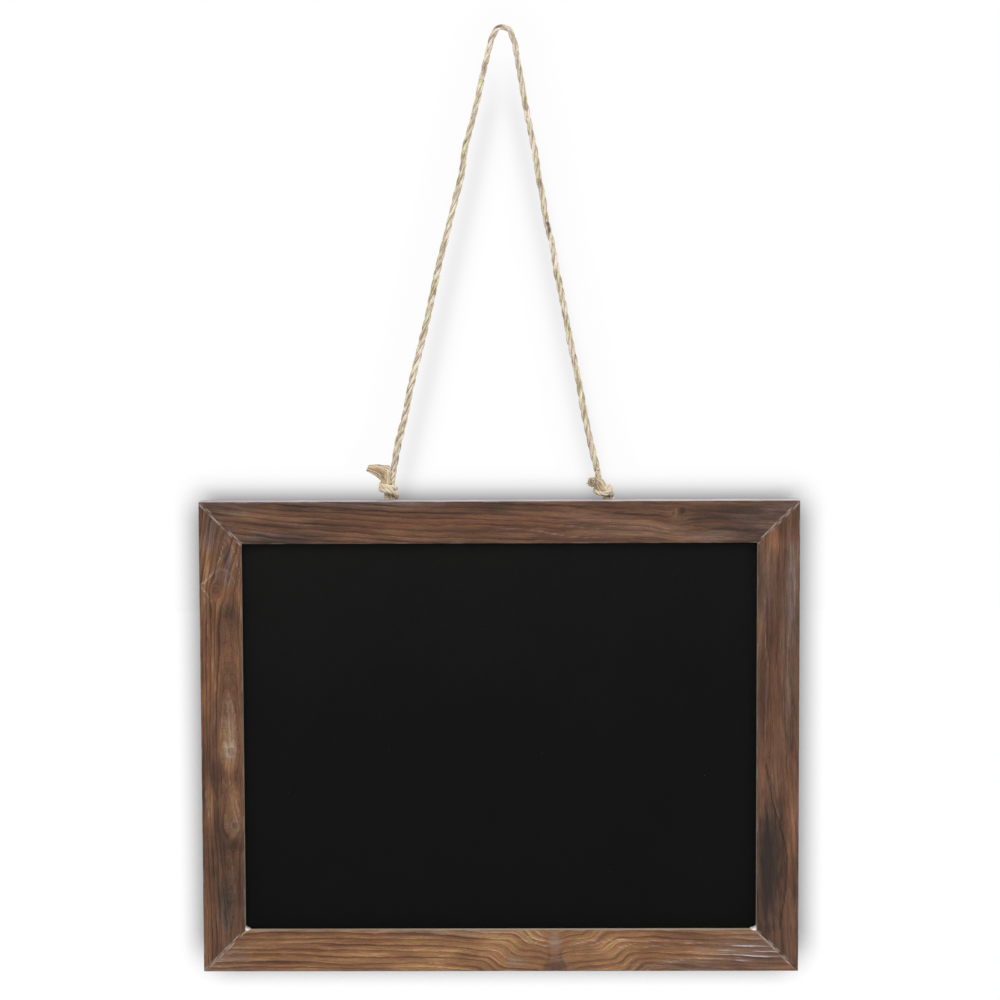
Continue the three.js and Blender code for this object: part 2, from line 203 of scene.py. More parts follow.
def add_vectors(piece, name, values):
    layer = piece.data.attributes.new(name, "FLOAT_VECTOR", "POINT")
    layer.data.foreach_set("vector", np.asarray(values, dtype=np.float32).ravel())


def ease(x):
    x = min(1.0, max(0.0, x))
    return x * x * (3 - 2 * x)


def smooth_curve(points, steps):
    """The same centripetal curve through the points as the CAD source draws."""
    points = [np.array(p, dtype=float) for p in points]
    ends = [2 * points[0] - points[1], *points, 2 * points[-1] - points[-2]]
    out = []
    for i in range(1, len(ends) - 2):
        a, b, c, d = ends[i - 1:i + 3]
        ab, bc, cd = (math.sqrt(np.linalg.norm(q - p)) for p, q in ((a, b), (b, c), (c, d)))
        start = ((b - a) / ab - (c - a) / (ab + bc) + (c - b) / bc) * bc
        end = ((c - b) / bc - (d - b) / (bc + cd) + (d - c) / cd) * bc
        for k in range(steps):
            t = k / steps
            out.append(
                b + start * t
                + (3 * (c - b) - 2 * start - end) * t ** 2
                + (2 * (b - c) + start + end) * t ** 3
            )
    out.append(points[-1])
    return np.array(out)


def knot_place(p, eye_x):
    return np.array([eye_x, 0.0, TOP_Z]) + np.array(p, dtype=float) * 2 * KNOT_TWINE_R


def knot_route(knot, eye_x):
    radius = EYE_WIRE_R + SEAT_GAP + KNOT_TWINE_R
    loop = [
        (
            eye_x + knot["side"] * radius * math.cos(turn * math.pi),
            0,
            EYE_Z + EYE_RING_R - radius * math.sin(turn * math.pi),
        )
        for turn in EYE_LOOP_TURNS
    ]
    standing, tail = ([knot_place(p, eye_x) for p in knot[part]] for part in ("standing", "tail"))
    return [*standing, *loop, *tail]


def leg_points(leg, start, end):
    start, end = np.array(start), np.array(end)
    return [start + (end - start) * t + np.array([bow, 0, 0]) for t, bow in leg]


left_knot_points = knot_route(LEFT_KNOT, LEFT_EYE_X)
right_knot_points = knot_route(RIGHT_KNOT, RIGHT_EYE_X)


def twine_route():
    left_bend = [(-x, 0, TWINE_R - below) for x, below in reversed(BEND)]
    right_bend = [(x, 0, TWINE_R - below) for x, below in BEND[1:]]
    left_end = np.array(left_knot_points[0])
    right_end = np.array(right_knot_points[0])
    return [
        left_end,
        *reversed(leg_points(LEFT_LEG, left_bend[0], left_end)),
        *left_bend,
        *right_bend,
        *leg_points(RIGHT_LEG, right_bend[-1], right_end),
        right_end,
    ]


def resample(points, step):
    travelled = np.concatenate([[0], np.cumsum(np.linalg.norm(np.diff(points, axis=0), axis=1))])
    count = max(2, int(round(travelled[-1] / step)))
    at = np.linspace(0, travelled[-1], count + 1)
    return np.stack([np.interp(at, travelled, points[:, k]) for k in range(3)], axis=1), at


def path_frames(points, normal=None):
    """A tangent and two normals at each point, turned as little as possible along the way."""
    tangents = np.gradient(points, axis=0)
    tangents /= np.linalg.norm(tangents, axis=1)[:, None]
    if normal is None:
        normal = np.cross(tangents[0], [0.2, 1, 0.1])
    normals = []
    for tangent in tangents:
        normal = normal - tangent * normal.dot(tangent)
        normal /= np.linalg.norm(normal)
        normals.append(normal)
    normals = np.array(normals)
    return tangents, normals, np.cross(tangents, normals)


def tube(points, radii, sides):
    """Vertices and faces of a closed tube, with flat ends."""
    _, first, second = path_frames(points)
    verts, faces = [], []
    for i, point in enumerate(points):
        for k in range(sides):
            angle = 2 * math.pi * k / sides
            verts.append(point + radii[i] * (math.cos(angle) * first[i] + math.sin(angle) * second[i]))
    for i in range(len(points) - 1):
        for k in range(sides):
            a, b = i * sides + k, i * sides + (k + 1) % sides
            faces.append((a, b, b + sides, a + sides))
    last = (len(points) - 1) * sides
    faces.append(tuple(reversed(range(sides))))
    faces.append(tuple(range(last, last + sides)))
    return verts, faces


# Material helpers

class Graph:
    """A short way to write a node material."""

    def __init__(self, name):
        self.material = bpy.data.materials.new(name)
        self.material.use_nodes = True
        self.tree = self.material.node_tree
        self.tree.nodes.clear()
        self.out = self.node("OutputMaterial")
        self.shader = self.node("BsdfPrincipled")
        self.put(self.out.inputs[0], self.shader.outputs[0])

    def put(self, socket, value):
        if isinstance(value, bpy.types.NodeSocket):
            self.tree.links.new(value, socket)
        else:
            socket.default_value = value

    def fill(self, node, values):
        for name, value in values.items():
            self.put(node.inputs[name.replace("_", " ")], value)

    def node(self, kind, **values):
        node = self.tree.nodes.new("ShaderNode" + kind)
        self.fill(node, values)
        return node

    def set(self, **values):
        self.fill(self.shader, values)

    def math(self, operation, a, b=0.0, clamp=False):
        node = self.node("Math")
        node.operation = operation
        node.use_clamp = clamp
        self.put(node.inputs[0], a)
        self.put(node.inputs[1], b)
        return node.outputs[0]

    def add(self, total, *others):
        for other in others:
            total = self.math("ADD", total, other)
        return total

    def mul(self, a, b):
        return self.math("MULTIPLY", a, b)

    def positive(self, value):
        return self.math("MAXIMUM", value, 0.0)

    def vector(self, x=0.0, y=0.0, z=0.0):
        return self.node("CombineXYZ", X=x, Y=y, Z=z).outputs[0]

    def split(self, vector):
        return self.node("SeparateXYZ", Vector=vector).outputs

    def attribute(self, name):
        node = self.node("Attribute")
        node.attribute_name = name
        return self.split(node.outputs["Vector"])

    def coords(self, kind="Object"):
        return self.node("TexCoord").outputs[kind]

    def noise(self, vector, detail, rough, scale=1.0):
        node = self.node("TexNoise", Vector=vector, Scale=scale, Detail=detail, Roughness=rough)
        return node.outputs[0]

    def ramp(self, factor, stops):
        node = self.node("ValToRGB", Fac=factor)
        elements = node.color_ramp.elements
        while len(elements) < len(stops):
            elements.new(0.5)
        for element, (at, value) in zip(elements, stops):
            element.position = at
            element.color = (value, value, value, 1) if isinstance(value, (int, float)) else (*value, 1)
        return node.outputs[0]

    def mix(self, factor, a, b, blend="MIX"):
        node = self.node("Mix")
        node.data_type = "RGBA"
        node.blend_type = blend
        self.put(node.inputs[0], factor)
        for socket, value in ((node.inputs[6], a), (node.inputs[7], b)):
            self.put(socket, value if isinstance(value, bpy.types.NodeSocket) else (*value, 1))
        return node.outputs[2]

    def times(self, colour, factors):
        return self.mix(1.0, colour, factors, "MULTIPLY")

    def tint(self, amount, colour, factors):
        """The colour multiplied by the factors, by this amount."""
        return self.mix(amount, colour, self.times(colour, factors))

    def bump(self, height, distance, strength):
        node = self.node("Bump", Height=height, Distance=distance, Strength=strength)
        return node.outputs[0]

    def openness(self, reach, samples):
        """1 where nothing stands within reach of the surface, in metres, down to 0 in a crevice."""
        node = self.node("AmbientOcclusion", Distance=reach)
        node.samples = samples
        return node.outputs["AO"]

    def fit(self, value, low, high):
        """Where the value lies from low to high, from 0 to 1."""
        return self.node("MapRange", Value=value, From_Min=low, From_Max=high).outputs[0]

    def blend(self, factor, a, b):
        """Two shaders mixed."""
        node = self.node("MixShader")
        for socket, value in zip(node.inputs, (factor, a, b)):
            self.put(socket, value)
        return node.outputs[0]


def srgb(red, green, blue):
    """A colour as the photograph shows it, from 0 to 255, as the shader wants it."""
    def linear(c):
        c /= 255
        return c / 12.92 if c <= 0.04045 else ((c + 0.055) / 1.055) ** 2.4
    return tuple(map(linear, (red, green, blue)))


# Twine

PLIES = 3
PLY_SIDES = 10
PLY_OFF = 0.49
PLY_R = 0.54
PLY_UNEVEN = 0.06
FREE_PITCH = 27.0
KNOT_PITCH = 11.0
FIBRE_PITCH = 14.0
FREE_R_AT_BEND = 2.02
FREE_R_AT_KNOT = 2.36
FREE_R_LUMPS = 0.24
KNOT_R = 1.86
EYE_LOOP_R = 1.62
TIGHTEN_L = 8.0
TWINE_STEP = 0.9
KNOT_STEP = 0.5
HAIRS_PER_MM = 0.42
HAIR_L = (1.8, 4.2)
HAIR_R = (0.05, 0.09)
HAIR_LIFT = (0.02, 0.18)
TAG_STRANDS = 68
TAG_STRAND_R = 0.5
TAG_STRAND_SIDES = 6
TAG_STRAND_STEP = 1.1
TAG_STRAND_STRAY = 0.11
TAG_HAIRS = 46
TAG_HAIR_R = (0.1, 0.2)
CREVICE_SHADE_REACH = 1.6

JUTE = [
    (0.52, srgb(112, 95, 76)), (0.61, srgb(170, 155, 134)),
    (0.69, srgb(206, 196, 177)), (0.80, srgb(242, 238, 229)),
]
JUTE_PINK = (1.08, 0.95, 0.98)
JUTE_OLIVE = (0.96, 0.98, 0.74)
JUTE_GOLD_SHADE = (0.92, 0.78, 0.56)
JUTE_PAINTED_PALE = srgb(255, 238, 208)
JUTE_GROOVE_SHADE = (0.42, 0.34, 0.27)
JUTE_CREVICE_SHADE = (0.72, 0.55, 0.36)
JUTE_DIRT = srgb(72, 66, 58)

# Dirt marks on the front of the twine: x, z, slant, half width, half height, amount
STAINS = [
    (30.1, -130.4, -0.19, 1.3, 2.2, 0.85), (31.2, -134.2, -0.19, 1.1, 2.8, 0.85),
    (-2.6, 2.3, 0.35, 3.0, 0.75, 0.8), (-85.2, -293.2, 0.2, 1.0, 0.9, 0.75),
    (62.4, -304.8, -0.1, 0.7, 2.8, 0.6), (-82.6, -301.5, -0.6, 0.6, 3.4, 0.45),
]


def jute_material():
    g = Graph("jute")
    along, around, ply = g.attribute("lay")
    # The stain attribute holds the dirt marks, the tint, which is partly painted highlight and shade, and the
    # painted shade in the grooves.
    stain, tint, groove_shade = g.attribute("stain")

    def spots(lengthways, crossways, detail, rough, shift=0.0):
        place = g.vector(g.mul(along, lengthways), g.mul(around, crossways), g.add(ply, shift))
        return g.noise(place, detail, rough)

    streak = spots(0.14, 5.0, 4.0, 0.62)
    fine = spots(0.45, 19.0, 3.0, 0.6)
    patch = spots(0.11, 1.0, 2.0, 0.5)
    blush = g.ramp(spots(0.08, 1.3, 2.0, 0.5, 40.0), [(0.40, 0.0), (0.50, 0.5), (0.60, 1.0)])
    colour = g.ramp(g.add(g.mul(streak, 0.6), g.mul(fine, 0.35), g.mul(patch, 0.45)), JUTE)
    colour = g.mix(blush, g.times(colour, JUTE_OLIVE), g.times(colour, JUTE_PINK))
    # Painted shade: a positive tint makes the lower strands of the loose ends darker and golden.
    colour = g.tint(g.positive(tint), colour, JUTE_GOLD_SHADE)
    # Painted highlight: a negative tint makes the knots' twine and the upper strands of the loose ends paler.
    colour = g.mix(g.positive(g.mul(tint, -1.0)), colour, g.mix(0.5, colour, JUTE_PAINTED_PALE))
    # Painted shade: darker in the grooves between the plies, inside the loose ends' bundles and at their cut
    # ends.
    colour = g.tint(g.mul(groove_shade, 0.65), colour, JUTE_GROOVE_SHADE)
    # Painted shade: the twine turns darker brown where other strands stand close.
    crevice_shade = g.ramp(g.openness(CREVICE_SHADE_REACH * MM, 12), [(0.15, 0.8), (0.62, 0.0)])
    colour = g.tint(crevice_shade, colour, JUTE_CREVICE_SHADE)
    colour = g.mix(stain, colour, JUTE_DIRT)
    height = g.add(g.mul(streak, 0.7), g.mul(fine, 0.4))
    g.set(
        Base_Color=colour, Roughness=g.add(0.72, g.mul(fine, 0.2)), Normal=g.bump(height, 0.35 * MM, 0.8),
        Specular_IOR_Level=0.3, Sheen_Weight=0.12,
    )
    return g.material


jute = jute_material()


class Yarn:
    """The mesh of one length of twine, with what the material needs at each vertex."""

    def __init__(self):
        self.verts, self.faces, self.lay, self.tints, self.grooves = [], [], [], [], []

    def add(self, verts, faces, lay, tint=0.0, grooves=None):
        base = len(self.verts)
        self.verts.extend(verts)
        self.faces.extend(tuple(base + i for i in face) for face in faces)
        self.lay.extend(lay)
        self.tints.extend([tint] * len(verts))
        self.grooves.extend([0.0] * len(verts) if grooves is None else grooves)


def add_plies(yarn, points, at, radius, turns, tint, normal):
    """The plies round one route. at is the distance along the whole twine in mm.

    Takes the normal at the end of the route before, and gives its own for the route after.
    """
    _, first, second = path_frames(points, normal)
    wanders = [np.array([noise.noise(Vector((a * 0.11, ply * 9.1, 3))) for a in at]) for ply in range(PLIES)]
    for ply, wander in enumerate(wanders):
        turn = 2 * math.pi * (turns + ply / PLIES)
        reach = radius * (PLY_OFF + PLY_UNEVEN * wander)
        centre = points + reach[:, None] * (
            np.cos(turn)[:, None] * first + np.sin(turn)[:, None] * second
        )
        thick = radius * (PLY_R + PLY_UNEVEN * np.roll(wander, 5))
        verts, faces = tube(centre, thick, PLY_SIDES)
        lay, grooves = [], []
        for i, vert in enumerate(verts):
            station, k = divmod(i, PLY_SIDES)
            round_ply = k / PLY_SIDES
            around = math.cos(2 * math.pi * round_ply + at[station] / FIBRE_PITCH) + 0.5 * round_ply
            lay.append((at[station], around, ply * 7.3))
            # The plies are darker where their surface dips towards the twine's middle, a painted shade in the
            # grooves.
            out = np.linalg.norm(vert - points[station]) / radius[station]
            grooves.append(ease((0.86 - out) / 0.34))
        yarn.add(verts, faces, lay, tint=tint, grooves=grooves)
    return first[-1]


def stain_at(p):
    found = 0.0
    for x, z, slant, half_x, half_z, amount in STAINS:
        dx, dz = p[0] - x, p[2] - z
        if slant < 0:
            dx -= slant * dz
        else:
            dz -= slant * dx
        gap = math.hypot(dx / half_x, dz / half_z)
        found = max(found, amount * ease((1.2 - gap) / 0.6)) if p[1] < 0.6 else found
    return found


def fibre(start, heading, lift, length, radius, sides=3, steps=5):
    """One stray fibre, which leaves the twine at a low angle and bends away."""
    path = [np.array(start, dtype=float)]
    heading = np.array(heading, dtype=float)
    heading /= np.linalg.norm(heading)
    for i in range(steps):
        heading = heading + np.array(lift) * (0.25 / steps) * (i + 1)
        heading /= np.linalg.norm(heading)
        path.append(path[-1] + heading * length / steps)
    radii = [radius * (1 - 0.7 * i / steps) for i in range(steps + 1)]
    return tube(np.array(path), radii, sides)


def add_hairs(yarn, points, at, radius, rng):
    tangents, first, second = path_frames(points)
    for _ in range(int((at[-1] - at[0]) * HAIRS_PER_MM)):
        i = rng.randrange(3, len(points) - 3)
        angle = rng.uniform(0, 2 * math.pi)
        out = math.cos(angle) * first[i] + math.sin(angle) * second[i]
        along = tangents[i] * rng.choice((-1, 1))
        side = np.cross(along, out) * rng.uniform(-0.5, 0.5)
        verts, faces = fibre(
            points[i] + out * radius[i] * 0.9, along + side + out * rng.uniform(*HAIR_LIFT),
            out * rng.uniform(-0.4, 0.4), rng.uniform(*HAIR_L), rng.uniform(*HAIR_R),
        )
        shade = rng.random()
        yarn.add(verts, faces, [(at[i] + j * 0.3, 0.5, shade) for j in range(len(verts))])


def add_tag(yarn, knot, eye_x, rng):
    """The loose end of a knot, untwisted into strands that part and end at a ragged cut."""
    middles = np.array([knot_place(middle, eye_x) for middle, _, _ in knot["tag"]])
    wide = np.array([half_w for _, half_w, _ in knot["tag"]]) * 2 * KNOT_TWINE_R
    deep = np.array([half_d for _, _, half_d in knot["tag"]]) * 2 * KNOT_TWINE_R
    heading = middles[-1] - middles[-2]
    heading /= np.linalg.norm(heading)
    for i in range(TAG_STRANDS + TAG_HAIRS):
        is_hair = i >= TAG_STRANDS
        reach = math.sqrt(rng.random()) if is_hair else math.sqrt((i + 0.5) / TAG_STRANDS)
        angle = rng.uniform(0, 2 * math.pi) if is_hair else 2.4 * i
        inset = 1.0 if is_hair else 0.88
        path = []
        for k, middle in enumerate(middles):
            turn = angle + 0.16 * k
            stray = [rng.uniform(-TAG_STRAND_STRAY, TAG_STRAND_STRAY) for _ in range(3)]
            path.append(
                middle + inset * reach * (math.cos(turn) * wide[k] + math.sin(turn) * deep[k]) + stray
            )
        path[-1] = path[-1] + heading * rng.uniform(-0.25, 1.4 if is_hair else 0.2)
        path, _ = resample(smooth_curve(path, 5), TAG_STRAND_STEP)
        if is_hair:
            path = path[-6:]
        thick = rng.uniform(*TAG_HAIR_R) if is_hair else TAG_STRAND_R * rng.uniform(0.85, 1.15)
        verts, faces = tube(path, np.linspace(thick, thick * 0.85, len(path)), TAG_STRAND_SIDES)
        shade = rng.random()
        places = [divmod(j, TAG_STRAND_SIDES) for j in range(len(verts))]
        lay = [(9 * shade + 0.8 * station, 6 * shade + 0.11 * k, 20 * shade) for station, k in places]
        # The lower strands of the loose end are tinted darker and golden as painted shade, the rest paler as
        # a painted highlight; each strand also differs at random.
        is_low_shaded = math.cos(angle) < -0.15
        tint = knot["gold_shade"] + (rng.uniform(0.1, 0.8) if is_low_shaded else rng.uniform(-0.75, 0.1))
        # Painted shade: strands inside the bundle, and each strand near its cut end, are darker.
        crevice_shade = 0.5 * ease((0.75 - reach) / 0.5)
        grooves = [crevice_shade + knot["end_shade"] * ease(j / len(verts) * 6 - 5) for j in range(len(verts))]
        yarn.add(verts, faces, lay, tint=tint, grooves=grooves)


def dress_twine():
    left = smooth_curve(left_knot_points, 8)[::-1]
    free = smooth_curve(twine_route(), 24)
    right = smooth_curve(right_knot_points, 8)
    parts = [
        ("left_knot_jute", "left_knot", left, KNOT_STEP, LEFT_KNOT, LEFT_EYE_X),
        ("twine_jute", "twine", free, TWINE_STEP, None, None),
        ("right_knot_jute", "right_knot", right, KNOT_STEP, RIGHT_KNOT, RIGHT_EYE_X),
    ]
    lengths = [np.linalg.norm(np.diff(route, axis=0), axis=1).sum() for route in (left, free, right)]
    joins = np.cumsum([0, *lengths])
    bend_at = joins[1] + lengths[1] / 2
    whole = np.concatenate([left, free[1:], right[1:]])
    travelled = np.concatenate([[0], np.cumsum(np.linalg.norm(np.diff(whole, axis=0), axis=1))])
    eye_loops = []
    for eye_x in (LEFT_EYE_X, RIGHT_EYE_X):
        lowest = np.array([eye_x, 0, EYE_Z + EYE_RING_R - EYE_WIRE_R - SEAT_GAP - KNOT_TWINE_R])
        eye_loops.append(travelled[np.argmin(np.linalg.norm(whole - lowest, axis=1))])

    def radius_at(a):
        """Free twine is full, and twine pulled into a knot is thinner, most of all in the eye."""
        down = np.clip(np.abs(a - bend_at) / (lengths[1] / 2), 0, 1)
        lumps = np.array([noise.noise(Vector((d * 0.045, 60.0, 0))) for d in a])
        free_r = FREE_R_AT_BEND + (FREE_R_AT_KNOT - FREE_R_AT_BEND) * down + FREE_R_LUMPS * lumps
        into = np.clip((joins[1] - a) / TIGHTEN_L, 0, 1) + np.clip((a - joins[2]) / TIGHTEN_L, 0, 1)
        radius = free_r + (KNOT_R - free_r) * into
        for middle in eye_loops:
            near = np.clip(1.6 - np.abs(a - middle) / 6.0, 0, 1)
            radius = radius + (EYE_LOOP_R - radius) * near
        return radius

    def turns_at(a):
        in_knot = np.maximum(a - joins[2], 0) - np.maximum(joins[1] - a, 0)
        return a / FREE_PITCH + in_knot * (1 / KNOT_PITCH - 1 / FREE_PITCH)

    rng = random.Random(SEED)
    normal = None
    pieces, routes = {}, {}
    for (name, node, points, step, knot, eye_x), join in zip(parts, joins):
        points, at = resample(points, step)
        at = at + join
        radius = radius_at(at)
        yarn = Yarn()
        # The knots' twine is painted paler than the free twine, a painted highlight.
        tint = -knot["painted_paleness"] if knot else 0.0
        normal = add_plies(yarn, points, at, radius, turns_at(at), tint, normal)
        add_hairs(yarn, points, at, radius, rng)
        if knot:
            add_tag(yarn, knot, eye_x, rng)
        piece = new_piece(name, np.array(yarn.verts) * MM, yarn.faces, jute, "hanging_twine")
        add_vectors(piece, "lay", yarn.lay)
        marks = zip(yarn.verts, yarn.tints, yarn.grooves)
        add_vectors(piece, "stain", [(stain_at(v), tint, groove_shade) for v, tint, groove_shade in marks])
        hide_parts(node)
        pieces[node], routes[node] = piece, points


dress_twine()


# Stage: a pale wall close behind the board, a pale floor below, soft light. In metres.

WALL_Y = 0.012
WALL_HALF_W = 3
WALL_TOP_Z = 2.2
FLOOR_Z = -0.86
FLOOR_HALF_W = 4
FLOOR_GLOW = 1.02
STAGE_COLOUR = (0.86, 0.86, 0.87, 1)
SHADOW_REACH = 0.030
SHADOW_GAIN = 2.75
SHADOW_FROM_Z = -0.3197
SHADOW_TO_Z = -0.2993
SHADOW_MOST = [
    (0.0, 0.70), (0.07, 0.62), (0.167, 0.53), (0.333, 0.36),
    (0.5, 0.2), (0.667, 0.1), (0.833, 0.045), (1.0, 0.02),
]
TWINE_SHADE_TOP = -0.047
TWINE_SHADE_START = -0.013
TWINE_SHADE_RUN = 0.34
TWINE_SHADE_WIDE = 0.008
TWINE_SHADE_DEPTH = 0.12
TWINE_SHADE_SLOPES = {-1: 0.236, 1: 0.211}
LIGHT_AIM = (0, 0, -0.45)
LAMPS = {
    "key_light": ((-0.5, -2.2, 1.3), 1.6, 26),
    "fill_light": ((1.6, -1.8, -0.1), 1.4, 8),
    "back_light": ((0.8, 2.4, 0.9), 1.8, 14),
}
WORLD_LIGHT = 0.62


def twine_shade(g, x, z):
    """The faint soft shadow of the twine on the wall, one band for each leg."""
    fallen = g.positive(g.math("SUBTRACT", TWINE_SHADE_TOP, z))
    bands = 0.0
    for side, slope in TWINE_SHADE_SLOPES.items():
        middle = g.add(g.mul(fallen, side * slope), side * BEND[-1][0] * MM)
        off = g.mul(g.math("SUBTRACT", x, middle), 1 / TWINE_SHADE_WIDE)
        bands = g.add(bands, g.math("EXPONENT", g.mul(g.mul(off, off), -1.0)))
    shown = g.ramp(
        g.mul(g.math("SUBTRACT", TWINE_SHADE_START, z), 1 / TWINE_SHADE_RUN),
        [(0.0, 0.0), (0.13, TWINE_SHADE_DEPTH), (0.85, TWINE_SHADE_DEPTH), (1.0, 0.0)],
    )
    return g.mul(bands, shown)


def wall_shadow(g):
    """How dark the object's soft shadow makes the wall. It fades out above the floor."""
    x, _, z = g.split(g.coords())
    crowded = g.math("SUBTRACT", 1.0, g.openness(SHADOW_REACH, 24))
    crowded = g.positive(g.add(crowded, -0.02))
    most = g.ramp(g.fit(z, SHADOW_FROM_Z, SHADOW_TO_Z), SHADOW_MOST)
    depth = g.math("MINIMUM", g.mul(crowded, SHADOW_GAIN), most)
    above_floor = g.ramp(g.math("SUBTRACT", z, FLOOR_Z), [(SHADOW_REACH, 0.0), (3 * SHADOW_REACH, 1.0)])
    return g.add(g.mul(depth, above_floor), twine_shade(g, x, z))


def stage_material(name, is_wall):
    """White in the picture. The wall is a veil that takes the shadow, so that the board still
    shows when it swings through, and neither shows from behind.
    """
    g = Graph(name)
    g.set(Base_Color=STAGE_COLOUR, Roughness=0.9, Specular_IOR_Level=0.0)
    if is_wall:
        shown = g.node("BsdfTransparent", Color=g.math("SUBTRACT", 1.0, wall_shadow(g), clamp=True))
    else:
        shown = g.node("Emission", Strength=FLOOR_GLOW)
    path = g.node("LightPath").outputs
    seen = g.math("MAXIMUM", path["Is Camera Ray"], path["Is Transmission Ray"])
    hidden = g.math("MAXIMUM", g.node("NewGeometry").outputs["Backfacing"], path["Is Shadow Ray"])
    lit = g.blend(seen, g.shader.outputs[0], shown.outputs[0])
    g.put(g.out.inputs[0], g.blend(hidden, lit, g.node("BsdfTransparent").outputs[0]))
    return g.material


def make_stage():
    w, f = WALL_HALF_W, FLOOR_HALF_W
    wall = new_piece(
        "stage_wall",
        [(-w, WALL_Y, FLOOR_Z), (w, WALL_Y, FLOOR_Z), (w, WALL_Y, WALL_TOP_Z), (-w, WALL_Y, WALL_TOP_Z)],
        [(0, 1, 2, 3)], stage_material("stage_wall", True), None, smooth=False,
    )
    floor = new_piece(
        "stage_floor",
        [(-f, -f, FLOOR_Z), (f, -f, FLOOR_Z), (f, f, FLOOR_Z), (-f, f, FLOOR_Z)],
        [(0, 1, 2, 3)], stage_material("stage_floor", False), None, smooth=False,
    )


def make_lamps():
    for name, (place, size, power) in LAMPS.items():
        data = bpy.data.lights.new(name, "AREA")
        data.shape = "SQUARE"
        data.size = size
        data.energy = power
        lamp = bpy.data.objects.new(name, data)
        lamp.location = place
        lamp.rotation_euler = (Vector(LIGHT_AIM) - Vector(place)).to_track_quat("-Z", "Y").to_euler()
        lamp.visible_camera = False
        bpy.context.scene.collection.objects.link(lamp)


def make_world():
    """White where it is seen, and dimmer as light on the object."""
    world = bpy.data.worlds.new("studio")
    world.use_nodes = True
    tree = world.node_tree
    path = tree.nodes.new("ShaderNodeLightPath")
    seen = tree.nodes.new("ShaderNodeMath")
    seen.operation = "MAXIMUM"
    tree.links.new(path.outputs["Is Camera Ray"], seen.inputs[0])
    tree.links.new(path.outputs["Is Transmission Ray"], seen.inputs[1])
    strength = tree.nodes.new("ShaderNodeMapRange")
    tree.links.new(seen.outputs[0], strength.inputs["Value"])
    strength.inputs["To Min"].default_value = WORLD_LIGHT
    strength.inputs["To Max"].default_value = 1.0
    shade = tree.nodes["Background"]
    tree.links.new(strength.outputs[0], shade.inputs["Strength"])
    shade.inputs["Color"].default_value = (1, 1, 1, 1)
    bpy.context.scene.world = world
    bpy.context.scene.view_settings.view_transform = "Standard"


make_stage()
make_lamps()
make_world()


# Wood

ARRIS_R = 0.9
BACK_RECESS = 0.12
OUTER_CELLS = 8
RIM_STEPS = 4
FRONT_CELLS = 30
LIP_CELLS = 4
RABBET_CELLS = 5
BACK_CELLS = 9
STATION_PITCH = 1.0
END_L = 1.8
RABBET_UNROLLED = 33
BACK_UNROLLED = 61
DARK_CRACK_HALF_W = 0.75
PALE_CRACK_HALF_W = 0.55

# Fine grain: changes for each mm along and across the growth lines, detail, roughness, shift
GRAIN = {
    "wobble": (0.03, 0.22, 3.0, 0.55, 0.0), "frizz": (0.3, 1.5, 2.0, 0.55, 2.0),
    "blotch": (0.018, 0.11, 3.0, 0.55, 4.0), "streak": (0.035, 1.0, 4.0, 0.6, 6.0),
    "fleck": (0.11, 2.8, 4.0, 0.65, 8.0), "pore": (0.33, 9.0, 3.0, 0.6, 10.0),
    "flake": (0.8, 1.3, 3.0, 0.6, 12.0), "scratch": (0.07, 5.5, 2.0, 0.5, 14.0),
    "hue": (0.09, 0.30, 2.0, 0.55, 16.0),
}

# How dark the wood is across one growth ring
LATEWOOD = [(0.0, 0.0), (0.35, 0.06), (0.62, 0.26), (0.82, 0.75), (0.93, 1.0), (0.985, 0.85), (1.0, 0.0)]

BROWN = [
    (0.0, srgb(38, 26, 18)), (0.2, srgb(61, 40, 28)), (0.4, srgb(89, 60, 43)),
    (0.6, srgb(117, 82, 58)), (0.8, srgb(148, 110, 75)), (1.0, srgb(192, 157, 117)),
]
GREYED = [
    (0.0, srgb(37, 29, 26)), (0.2, srgb(58, 46, 41)), (0.4, srgb(82, 69, 65)),
    (0.6, srgb(107, 95, 95)), (0.8, srgb(138, 124, 119)), (1.0, srgb(182, 168, 160)),
]
WOOD_WARM = (1.22, 0.98, 0.80)
WOOD_LIGHT = (1.02, 1.06, 1.12)
WOOD_OLIVE = (0.97, 1.03, 0.88)
WOOD_RED = (1.05, 0.97, 0.99)
WOOD_LATE = (0.84, 0.68, 0.58)
WOOD_RAW = srgb(214, 196, 174)
WOOD_FILLER = srgb(246, 243, 244)
WOOD_WORN = srgb(200, 188, 180)
TOP_PAINTED_GLEAM = srgb(206, 199, 213)
BAND_PAINTED_GLEAM = srgb(200, 196, 204)

# A lump of filler: its outline at the lip, and its depth and scale at each row
FILLER_OUTLINE = ((0, -0.4), (0, 2.1), (0.7, 1.3), (1.7, 0.9), (3.0, 0.6), (3.8, -0.4))
FILLER_ROWS = ((0.5, 0.75), (2.4, 1.0), (4.2, 1.1), (6.2, 1.2))
FILLER_RAW = 2.0
